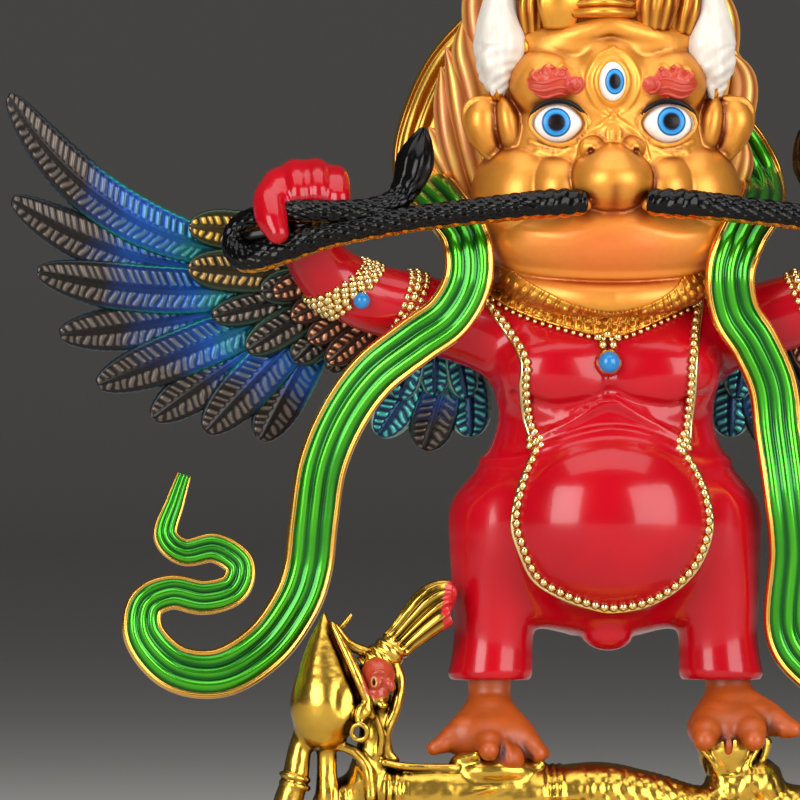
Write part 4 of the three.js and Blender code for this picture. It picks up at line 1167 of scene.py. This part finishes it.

# The feet. Below each hem a short ankle ends in a broad bird's foot with knuckled toes. They are part of the same
# casting, in a matt terracotta paint, darkened between the toes as painted shade.
foot_forms = [
    (1.5, limb, [(-17.6, -1.5, 38, 3.4), (-17.6, -1.6, 34.5, 3.15), (-17.7, -2, 31.6, 3.6)]),
    (3.0, ball, (-17.8, -4.6, 28.2), (6.4, 5.8, 4.2)),
    (2.0, limb, [(-18.2, -3, 31, 2.8), (-21.6, -5, 29.0, 2.2), (-24.4, -6.4, 27.6, 1.5), (-26.8, -7.2, 26.5, 0.7)]),
    (2.0, limb, [(-17, -3, 31, 2.8), (-14, -5.4, 28.6, 2.5), (-11.6, -6.8, 26.6, 1.8), (-9.8, -7.6, 25.9, 0.8)]),
    (1.6, limb, [(-18, -4, 29.6, 2.6), (-18.4, -9, 27.6, 2.0), (-18.6, -11.6, 26.4, 1.4)]),
    (1.6, ball, (-15.6, -9, 24.8), (2.6, 2.6, 2.2)),
    (0.5, limb, [(-16.4, -8.6, 28.8, 0.5), (-15.8, -11.2, 26.4, 0.6), (-15.6, -11.6, 24.8, 0.5)]),
    (1.5, limb, [(18.3, -1.5, 38, 3.5), (18.3, -1.6, 34.8, 3.3), (18.2, -2, 32, 3.8)]),
    (3.0, ball, (17.9, -4.8, 29.4), (6.0, 5.8, 3.8)),
    (2.0, limb, [(17, -3.6, 31.4, 3.0), (14.6, -8.4, 29.6, 2.4), (13.8, -11.4, 28.2, 1.7)]),
    (2.0, limb, [(19, -3.6, 31.4, 3.0), (20.8, -8.4, 29.6, 2.4), (21.2, -11.4, 28.1, 1.7)]),
    (2.0, limb, [(19.6, -2.6, 33, 3.0), (23.4, -4.4, 31.5, 2.5), (26.2, -6, 30.1, 1.7), (28.6, -7, 29.4, 0.8)]),
    (0.6, limb, [(17.4, -8, 30.2, 0.6), (17.5, -10.6, 27.6, 0.7), (17.5, -10.4, 26.2, 0.6)]),
]
for x, y, z, r in (
    (-21.9, -6.2, 29.4, 2.1), (-15.4, -9.6, 25.2, 2.0), (16.2, -6.2, 31.4, 2.2), (22.6, -5.8, 31.2, 2.2),
    (-23.8, -6.6, 28.2, 1.7), (-25.2, -7.2, 27.3, 1.3), (-26.4, -7.4, 26.7, 1.0), (-13.2, -6.8, 27.8, 2.0),
    (-12.0, -7.4, 26.9, 1.7), (-10.9, -8, 25.8, 1.35), (-18.6, -11.8, 26.4, 1.35), (-18.4, -10.2, 27.5, 1.7),
    (13.7, -12, 27.8, 1.5), (14.2, -10, 29, 2.1), (21.2, -12, 27.8, 1.5), (20.9, -10, 29.1, 2.1),
    (26.4, -6.8, 29.5, 1.5), (27.6, -7.4, 29.3, 1.15), (24.8, -5.8, 30.4, 2.0),
):
    foot_forms.append((0.6, ball, (x, y - 0.15, z), (1.03 * r, 1.05 * r, r)))
foot_points, foot_quads, foot_outward = cast(foot_forms, pitch=0.4)


def matt_paint(name, dark, bright, roughness):
    """Matt paint, mottled, with its creases darkened as painted shade."""
    material, tree, shader = new_material(name)
    noise = clouds(tree, place_on(tree), 300.0, 3.0)
    # Random mottle plus painted shade in the creases.
    mottle_and_shade = reckon(tree, "MULTIPLY_ADD", noise, 0.5, attribute(tree, "hollow"), clamp=True)
    fill(tree, shader, {"Base Color": mix(tree, mottle_and_shade, bright, dark), "Roughness": roughness})
    return material


foot_hollow = 1.5 * hollow(foot_forms, foot_points, foot_outward, 1.2)
foot_paint = matt_paint("matt terracotta", "#561A04", "#BC5414", 0.42)
feet = mesh_object("feet", foot_points, foot_quads, foot_paint, hollow=foot_hollow)
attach(feet, "root")
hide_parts("garuda")

# The ornaments. Gold cast beads stand proud of the red enamel: a ring round the belly, a strap down either side of
# the chest, bands of five and three bead rows on the arms, a collar with two bead rows, and a blue drop on the chest.
PHOTO_MIDDLE, PHOTO_GROUND = 613, 925
BAND_ARC = 4.4
DROP_X = -0.55


def bead_string(places, radius, sides=8, rings=5):
    """Beads, centre + r (sin u cos v, sin u sin v, cos u), at each of the places; radius may vary by place."""
    places = np.asarray(places, dtype=float)
    radius = np.broadcast_to(radius, len(places))
    points, faces = closed_tube(np.stack(sphere(sides, rings), axis=-1), [0, 0, 1], [0, 0, -1])
    faces = faces[:, ::-1]
    every = places[:, None] + radius[:, None, None] * points[None]
    offsets = np.arange(len(places)) * len(points)
    return every.reshape(-1, 3), (faces[None] + offsets[:, None, None]).reshape(-1, 3)


def along_line(stations, pitch):
    """Places at even steps of about `pitch` along a smooth line."""
    rows = smooth(stations, 12)
    run = way_along(rows)
    return placed(rows, run, np.linspace(0, run[-1], max(int(round(run[-1] / pitch)), 1) + 1))


def photo_places(*pixels):
    """(x, z) in millimetres of pixels of the photograph on the figure's front."""
    x, z = np.array(pixels, dtype=float).T
    return np.stack([x - PHOTO_MIDDLE, PHOTO_GROUND - z], axis=1) * PHOTO_MM_PER_PIXEL


def laid_on(forms, line, sink):
    """Places of (x, z) moved onto the front of the forms, sunk by `sink`."""
    return np.stack([line[:, 0], front_of(forms, line[:, 0], line[:, 1]) + sink, line[:, 1]], axis=1)


def rail(line):
    """A thin wire laid on the body along a line of (x, z) stations."""
    places = laid_on(body_forms, along_line(line, 0.8), 0.05)
    return wire(np.column_stack([places, np.full(len(places), 0.45)]), 8, 1)


belly_line = photo_places(
    (535, 451), (522, 481), (514, 516), (519, 542), (535, 575), (562, 593), (594, 604), (615, 607), (648, 601),
    (677, 585), (699, 561), (711, 526), (707, 494), (696, 467), (685, 451),
) * [0.975, 1]
strap_lines = [
    photo_places((490, 301), (511, 328), (527, 360), (527, 387), (532, 419), (538, 441)),
    photo_places((704, 296), (699, 323), (693, 360), (691, 400), (688, 441)),
]
collar_inner = photo_places(
    (506, 258), (519, 274), (543, 290), (575, 306), (611, 313), (648, 305), (674, 289), (690, 270), (700, 256),
)
collar_outer = photo_places(
    (480, 282), (500, 300), (532, 317), (584, 333), (612, 337), (630, 334), (662, 321), (698, 304), (722, 284),
)
gold_parts = [bead_string(laid_on(body_forms, along_line(belly_line, 1.4), -0.35), 0.72)]
gold_parts.append(rail(belly_line * [1.035, 1] + [0, -0.5]))
for line in strap_lines:
    gold_parts.append(bead_string(laid_on(body_forms, along_line(line, 1.22), -0.35), 0.7))
    gold_parts.append(rail(line + [0.6 * np.sign(line[0, 0]), 0]))
bib_forms = body_forms + [form for form in head_forms if form[1] is limb and len(form[2]) > 20]


def collar_mesh():
    """A crescent from v = 0 at its inner line to 1 at its outer, laid 0.3 (1 + sin pi v) over the chest, with two
    rows of beads (1 - (d / size)^2)^(1/2), d being the distance to a bead's middle, and rims
    exp(-((v - v0) / w)^2)."""
    around, across, pitch = 300, 22, 1.4
    inner, outer = (along_line(line, 0.2) for line in (collar_inner, collar_outer))
    inner, outer = (line[np.linspace(0, len(line) - 1, around).round().astype(int)] for line in (inner, outer))
    v = np.linspace(0, 1, across)[None, :]
    flat = inner[:, None] * (1 - v)[..., None] + outer[:, None] * v[..., None]
    middle = 0.5 * (inner + outer)
    run = way_along(middle)[:, None]
    wide = np.linalg.norm(outer - inner, axis=1)[:, None]
    cell = (run + pitch / 2) % pitch - pitch / 2
    beads = sum(
        size * np.sqrt(np.clip(1 - (np.hypot(cell, (v - row) * wide) / size) ** 2, 0, 1))
        for row, size in ((0.7, 0.62), (0.36, 0.48))
    )
    rim_swell = np.exp(-(((v - 0.93) / 0.07) ** 2)) + 0.5 * np.exp(-(((v - 0.06) / 0.06) ** 2))
    y = front_of(bib_forms, *flat.reshape(-1, 2).T).reshape(flat.shape[:2])
    lift = 0.3 * (1 + np.sin(math.pi * v)) + 0.9 * beads + 0.35 * rim_swell
    top = np.stack([flat[..., 0], y - lift, flat[..., 1]], axis=-1)
    under = np.stack([flat[..., 0], y + 1.2, flat[..., 1]], axis=-1)[:, ::-1][:, 2:-2:5]
    grid = np.concatenate([top, under], axis=1)
    # Painted shade on the collar between its beads and rims.
    shade = np.concatenate([np.clip(0.2 - 1.5 * beads - rim_swell, 0, 1), np.zeros(under.shape[:2])], axis=1)
    return closed_tube(grid, grid[0].mean(axis=0), grid[-1].mean(axis=0), shade)


collar_points, collar_faces, collar_shade = collar_mesh()
collar = mesh_object("collar", collar_points, collar_faces, gold_paint, hollow=collar_shade)
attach(collar, "root")
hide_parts("garuda")
fringe = laid_on(bib_forms, along_line(collar_outer + [0, -0.35], 1.15), -0.5)
gold_parts.append(bead_string(fringe, 0.42))


def around_limb(stations, share, lean, count):
    """Places round a limb at a share of its length, on a circle leaning by `lean` along it, `count` of them over
    the arc BAND_ARC centred on the front."""
    rows = smooth(stations, 12)
    at = share * (len(rows) - 1)
    k = int(at)
    centre = rows[k] + (at - k) * (rows[min(k + 1, len(rows) - 1)] - rows[k])
    along = rows[min(k + 1, len(rows) - 1), :3] - rows[max(k - 1, 0), :3]
    along /= np.linalg.norm(along)
    front = np.array([0.0, -1.0, 0.0])
    front -= (front @ along) * along
    front /= np.linalg.norm(front)
    up = np.cross(along, front)
    up *= np.sign(up[2])
    t = np.linspace(-BAND_ARC / 2, BAND_ARC / 2, count)[:, None]
    circle = centre[3] * (np.cos(t) * front + np.sin(t) * up)
    return centre[:3] + circle + lean * np.sin(t) * along


for side in (LEFT, RIGHT):
    stations = mirrored(arm, side)
    for share, lean, count, radius in (
        (0.548, -2.0, 17, 0.6), (0.574, -2.0, 16, 0.78), (0.6, -2.0, 17, 0.72), (0.626, -2.0, 16, 0.8),
        (0.652, -2.0, 17, 0.6), (0.345, -0.9, 19, 0.56), (0.369, -0.9, 15, 0.85), (0.393, -0.9, 19, 0.56),
    ):
        gold_parts.append(bead_string(around_limb(stations, share, lean, count), radius))
gems = laid_on(body_forms, np.array([(-37.4, 93.6), (36.8, 93.6)]), 0)
drop_y = front_of(body_forms, np.full(3, DROP_X), np.array([85.6, 84.2, 82.8])).min()
flowers = laid_on(body_forms, np.array([(-2.0, 88.2), (-0.6, 88.6), (0.9, 88.2), (-1.4, 87), (0.2, 87)]), -0.5)
gold_parts.append(bead_string(flowers, 0.7))
gold_parts.append(bead_string([(DROP_X, drop_y + 0.2, 84.3)], 2.1, 16, 9))
knots = [(sx + dx, sz + dz) for sx, sz in ((-11.4, 72.5), (10.8, 72.1))
         for dx, dz in ((-0.7, 0.5), (0.7, 0.6), (0.0, 1.5), (-0.8, -0.6), (0.8, -0.5), (0.0, -0.1))]
gold_parts.append(bead_string(laid_on(body_forms, np.array(knots), -0.35), 0.68))
polished_gold = satin_gold("polished gilding", 0.2, "#6A3A0C", "#FADC98")
ornaments = mesh_object("bead_ornaments", *merged(gold_parts), polished_gold)
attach(ornaments, "root")
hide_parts("garuda")
stones = merged([
    bead_string(gems + [0, -0.5, 0], 1.25, 16, 9), bead_string([(DROP_X, drop_y - 0.6, 84.35)], 1.7, 16, 9),
])
gem_piece = mesh_object("blue_stones", *stones, plain_paint("sky-blue enamel", "#1F78B6", 0.2))
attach(gem_piece, "root")
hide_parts("garuda")

# The naga. The serpent spirit that the garuda tramples is its own casting in bright polished gilding: a head in a
# smooth pointed cap with a ribbed topknot, a painted face, arms with ribbed bracelets, and a scaly tail.
PLINTH_HEIGHT = 13.5


def band_ring(centre, axis, radius, thick, corners=10):
    """Stations of a ring round a limb at `centre`, square to `axis`."""
    axis = np.array(axis, dtype=float) / np.linalg.norm(axis)
    one = np.cross(axis, [0.0, 0.0, 1.0] if abs(axis[2]) < 0.8 else [0.0, 1.0, 0.0])
    one /= np.linalg.norm(one)
    two = np.cross(axis, one)
    t = np.linspace(0, 2 * math.pi, corners + 1)[:, None]
    return np.hstack([np.array(centre) + radius * (np.cos(t) * one + np.sin(t) * two), thick + 0 * t])


naga_forms = [
    (1.5, limb, [(-41, -5, 18, 3.6), (-35, -6, 20, 4.2), (-28, -7, 19.6, 4.6), (-20, -7, 19.6, 4.4),
                 (-9.5, -7, 19.4, 4.1)]),
    (1.0, limb, [(-9.5, -7, 19.4, 4.4), (-5, -7, 19.8, 4.6), (-0.6, -7, 19.6, 4.9), (6, -7, 18.6, 4.4),
                 (13, -7, 17.2, 3.8), (20, -6.5, 17.4, 4.2), (27, -5.6, 17.4, 3.8), (35, -2.4, 16.6, 3.2),
                 (40, 4, 16, 2.7), (36.4, 10.4, 15.6, 2.0), (28.6, 12, 15.2, 1.4), (22, 12, 14.8, 0.6)]),
    (1.2, ball, (21.6, -5.6, 21), (4.8, 5.6, 4.6)),
    (0.8, limb, [(-43, -8, 46.6, 0.35), (-43, -8.2, 44.6, 1.2), (-43, -8.4, 41.3, 2.7), (-42.8, -8.6, 37.5, 4.15),
                 (-42.8, -8.8, 33.2, 5.3), (-43, -8.8, 30.6, 4.3)]),
    (-0.9, ball, (-39.4, -15.4, 35.8), (2.0, 2.8, 6.4), 0.22),
    (0.3, limb, [(-42, -10.6, 45.4, 0.4), (-40.2, -11.6, 41.6, 0.7), (-38.6, -12.4, 38, 0.8),
                 (-37.2, -12.6, 34.6, 0.75), (-36.2, -12.2, 31.6, 0.6)]),
    (0.5, limb, [(-41.2, -8, 45, 0.4), (-39.2, -8, 42.2, 0.8), (-36.6, -8, 41, 0.9)]),
    (0.7, ball, (-35.2, -8.8, 37.6), (3.0, 3.8, 3.2), 0.3),
    (0.6, ball, (-35.4, -9.4, 34.6), (2.2, 3.2, 2.6), 0.3),
    (0.3, ball, (-33.4, -11.4, 36.2), (0.8, 1.1, 1.2), -0.4),
    (0.3, ball, (-34.6, -12, 33.2), (0.9, 0.8, 0.6)),
    (0.2, ball, (-35.3, -12.5, 36.4), (0.55, 0.6, 1.0), 0.6),
    (0.2, limb, [(-36.2, -12.4, 37.8, 0.28), (-35, -12.7, 38.2, 0.35), (-33.8, -12.2, 37.8, 0.28)]),
    (1.0, limb, [(-35.4, -8.4, 33, 2.2), (-35.4, -8, 27.6, 2.5), (-36.2, -7.2, 22, 3.4)]),
    (0.3, limb, [(-32.4, -9, 39.4, 0.7), (-31.7, -9.4, 36.6, 0.8), (-32.4, -9.6, 32.6, 0.8), (-33.8, -9.6, 29, 0.8),
                 (-33.6, -9, 26.2, 0.9), (-32.4, -9, 24.8, 0.7)]),
    (0.3, limb, [(-35.6, -11.6, 31.6, 0.5), (-34.6, -11, 28.6, 0.5), (-34.8, -10.4, 26, 0.5)]),
    (0.3, ball, (-37.8, -12.4, 32), (1.2, 1.1, 1.9), 0.3),
    (0.25, limb, band_ring((-38.1, -13, 29.2), (0.2, 1, 0.2), 1.2, 0.42)),
    (0.25, limb, band_ring((-37.4, -13, 32.4), (0.2, 1, 0.2), 0.75, 0.3)),
    (1.0, limb, [(-45.4, -7.8, 29.6, 1.8), (-46.6, -8, 26.4, 1.8), (-47.4, -8.4, 22, 2.0), (-48.6, -8.4, 17.4, 2.2),
                 (-47, -9, 14.8, 1.6)]),
    (0.6, limb, [(-42.6, -8.4, 27.8, 1.6), (-42.6, -8.4, 23.4, 1.5), (-42.4, -8, 19, 2)]),
    (0.6, limb, [(-41.4, -9.6, 27.2, 0.7), (-38.6, -10, 26.2, 0.8), (-36.6, -10.4, 23.4, 0.8),
                 (-36.2, -10.4, 19.4, 0.9)]),
    (0.4, limb, [(-34.2, -10.4, 24.6, 0.55), (-30, -10, 23.9, 0.6), (-23.4, -9.6, 23.8, 0.6)]),
    (0.8, ball, (-17.4, -6.4, 23.2), (7.0, 5.4, 2.9)),
    (0.5, limb, [(-23.2, -7.4, 22.8, 1.2), (-22.8, -8.4, 24.6, 1.2), (-20.4, -10.4, 25.6, 0.8)]),
    (0.5, limb, [(-12.4, -8, 23, 1.4), (-10.6, -8, 24.2, 0.9)]),
    (0.8, limb, [(17.8, -6.2, 26.6, 4.6), (17.8, -6.6, 24.4, 3.6), (18, -6.6, 22.4, 3.1), (18.2, -6.6, 20.4, 4.0)]),
    (0.4, limb, [(23.4, -7.6, 27.4, 1.0), (22.8, -8, 25, 0.7), (20.6, -8, 22.6, 0.6)]),
    (0.3, limb, [(13.6, -9, 26.8, 0.6), (15.2, -9.6, 24.6, 0.45), (16.2, -9.4, 22.6, 0.4)]),
    (0.3, limb, [(22, -9, 26.8, 0.6), (20.8, -9.8, 24.6, 0.45), (19.8, -9.4, 22.6, 0.4)]),
    (0.4, limb, [(-24.6, -10.4, 19, 0.5), (-19.6, -11.2, 20.4, 0.5), (-14.6, -10.6, 21.2, 0.5)]),
    (0.5, limb, [(-38.8, -6.6, 46.6, 0.35), (-40.8, -6.6, 44, 0.5)]),
]
for k in range(3):
    naga_forms.append((0.2, limb, band_ring((-33.4 + 1.2 * k, -6.6, 19.8), (1, 0, 0), 4.35, 0.5)))
    naga_forms.append((0.2, limb, band_ring((-9.6 + 1.0 * k, -7, 19.5), (1, 0, 0), 4.5, 0.45)))
for k in range(2):
    naga_forms.append((0.2, limb, band_ring((-47.4, -8.3, 22.4 - 1.2 * k), (0.25, 0, 1), 2.05, 0.42)))
naga_points, naga_quads, naga_outward = cast(naga_forms, pitch=0.4)
naga_points[:, 2] = np.maximum(naga_points[:, 2], PLINTH_HEIGHT + 0.02)


def naga_relief(x, y, z):
    """Swell of the tail's scales, 0.28 (|cos(k x + 3.5 t) cos(k x - 3.5 t)|^(1/2) - 0.5), t being the angle round
    the tail, and of the cloth's pleats below the head, 0.2 sin(2 pi x / 0.9)."""
    tail = np.clip((x + 6) / 2, 0, 1) * np.clip((30 - x) / 4, 0, 1) * np.clip((z - 14) / 1.5, 0, 1)
    tail *= np.clip((24.2 + 0.6 * np.sin(x) - z) / 0.8, 0, 1)
    t = np.arctan2(z - 18.4, y + 7)
    scales = np.abs(np.cos(math.pi * x / 2.2 + 3.5 * t) * np.cos(math.pi * x / 2.2 - 3.5 * t))
    cloth = np.clip(x + 43, 0, 1) * np.clip(-36.4 - x, 0, 1) * np.clip((20.8 - z) / 0.6, 0, 1)
    return 0.28 * tail * (np.sqrt(scales) - 0.5) + 0.2 * cloth * np.sin(x * 2 * math.pi / 0.9)


naga_points = naga_points + naga_relief(*naga_points.T)[:, None] * naga_outward
face_paint = [
    ("#A83A20", ellipse_mask(-35.2, 37.2, 2.6, 3.1, 0.35, -9.5)),
    ("#C98A4A", ellipse_mask(-35.9, 36.7, 0.45, 0.85, 0.0, -9.5, 0.05)),
    ("#1A0F0A", ellipse_mask(-35.9, 36.7, 0.22, 0.55, 0.0, -9.5, 0.05)),
]
naga_gold = satin_gold("polished gilding with painted face", 0.26, "#4E380C", "#E8B84A", face_paint, dents=0.3)
# Painted shade in the naga's creases.
naga_hollow = hollow(naga_forms, naga_points, naga_outward, 1.2)
naga = mesh_object("naga", naga_points, naga_quads, naga_gold, hollow=naga_hollow)
topknot = [
    (-36.6, -8.2, 38.2, 2.2), (-34.9, -8.2, 39.6, 2.4), (-33.2, -8.2, 41.2, 2.25), (-31.4, -8, 43, 2.2),
    (-29.2, -8, 45.2, 2.7), (-26.8, -8, 47.4, 3.2), (-25, -8, 48.5, 3.1), (-24.0, -8, 48.6, 2.3),
    (-23.4, -8, 48.4, 0.4),
]


def topknot_mesh():
    """A tube with rings 0.35 |cos(pi s / 1.5)| round its first 6.2 mm, then lengthwise ribs 0.38 cos 12t."""
    sides = 72
    grid, path, *_ = tube(topknot, sides, 14)
    s = way_along(path)[:, None]
    t = turns(sides)[None, :]
    away = grid - path[:, None]
    length = np.maximum(np.linalg.norm(away, axis=2), 0.3)
    in_rings = np.clip((6.2 - s) / 0.6, 0, 1)
    ribs = np.clip(length / 2, 0, 1) * 0.38 * np.cos(12 * t) * (1 - in_rings)
    lift = in_rings * 0.35 * np.abs(np.cos(math.pi * s / 1.5)) + ribs
    # Painted shade between the ribs and painted highlight on them.
    shade = np.clip(0.5 - 1.6 * ribs, 0, 1) * (1 - in_rings)
    return closed_tube(path[:, None] + away * (1 + lift / length)[..., None], path[0], path[-1], shade)


knot_points, knot_faces, knot_shade = topknot_mesh()
tip_paint = [("#C02424", ellipse_mask(-23.0, 47.6, 2.6, 4.4, 0.6, 4))]
knot_gold = satin_gold("polished gilding with painted tips", 0.22, "#5E4410", "#EFC052", tip_paint, dents=0.3)
knot = mesh_object("naga_topknot", knot_points, knot_faces, knot_gold, hollow=knot_shade)
for piece in (naga, knot):
    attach(piece, "root")
    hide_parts("naga")

# The plinth. An oval lotus base, one casting in satin gilding: a row of petals hangs down and a row stands up, with
# a bead row round the waist between them. The photograph stops above it, so it is kept plain.
PLINTH_A, PLINTH_B, PETALS = 50.0, 26.0, 14


def petal_row(angle, height, shift):
    """Swell of a row of petals: sqrt(1 - (a / w)^2) inside each outline w = sqrt(1 - h^2.4), a across, h up."""
    a = 2 * ((angle * PETALS / (2 * math.pi) + shift) % 1) - 1
    w = np.sqrt(np.clip(1 - np.abs(height) ** 2.4, 0, 1)) * 0.96
    inside = np.clip(1 - (a / np.maximum(w, 1e-3)) ** 2, 0, 1) ** 0.5
    inner = np.clip(1 - (a / np.maximum(0.62 * w - 0.05, 1e-3)) ** 2, 0, 1) ** 0.5
    return inside + 0.35 * inner * (height < 0.75)


def plinth_mesh():
    """Rings from the underside's middle out, up the petalled wall and in over the top, pressed to an oval."""
    top = PLINTH_HEIGHT
    profile = np.array([
        (0.4, 0), (0.8, 0), (0.975, 0), (0.995, 0.3), (1.0, 1.0), (0.99, 1.7), (0.955, 1.9), (0.945, 2.1),
        (0.93, 4.4), (0.885, 6.0), (0.865, 6.4), (0.865, 7.4), (0.885, 7.8), (0.905, 9.4), (0.9, 11.4),
        (0.885, 12.4), (0.9, 12.7), (0.905, 13.1), (0.89, 13.45), (0.86, top), (0.6, top), (0.3, top),
    ])
    steps = np.concatenate([[0], np.cumsum(np.hypot(*np.diff(profile * [PLINTH_A, 1], axis=0).T) + 1e-6)])
    fine = np.unique(np.concatenate([steps, np.linspace(steps[2], steps[-3], 80)]))
    r, z = np.interp(fine, steps, profile[:, 0]), np.interp(fine, steps, profile[:, 1])
    theta = turns(PETALS * 18)[None, :]
    r, z = r[:, None], z[:, None]
    lower = petal_row(theta, np.clip((6.0 - z) / 4.1, 0, 1), 0) * ((z > 1.95) & (z < 6.1))
    upper = petal_row(theta, np.clip((z - 7.8) / 4.6, 0, 1), 0.5) * ((z > 7.7) & (z < 12.5))
    beads = np.abs(np.sin(theta * PETALS * 2.5)) * np.exp(-((z - 6.9) / 0.45) ** 2)
    swell = 0.028 * lower + 0.03 * upper + 0.012 * beads
    grid = np.stack([
        PLINTH_A * (r + swell) * np.sin(theta), -PLINTH_B * (r + swell) * np.cos(theta), z + 0 * theta,
    ], axis=-1)
    # Painted shade between the petals.
    shade = np.clip(1.2 - 1.6 * (lower + upper), 0, 1) * ((z > 2) & (z < 12.4))
    return closed_tube(grid, [0, 0, 0], [0, 0, top], shade)


plinth_points, plinth_faces, plinth_shade = plinth_mesh()
plinth_gold = satin_gold("satin gilding", 0.25, "#7E4A12", "#E8B64C")
plinth = mesh_object("plinth", plinth_points, plinth_faces, plinth_gold, hollow=plinth_shade)
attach(plinth, "root")
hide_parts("plinth")
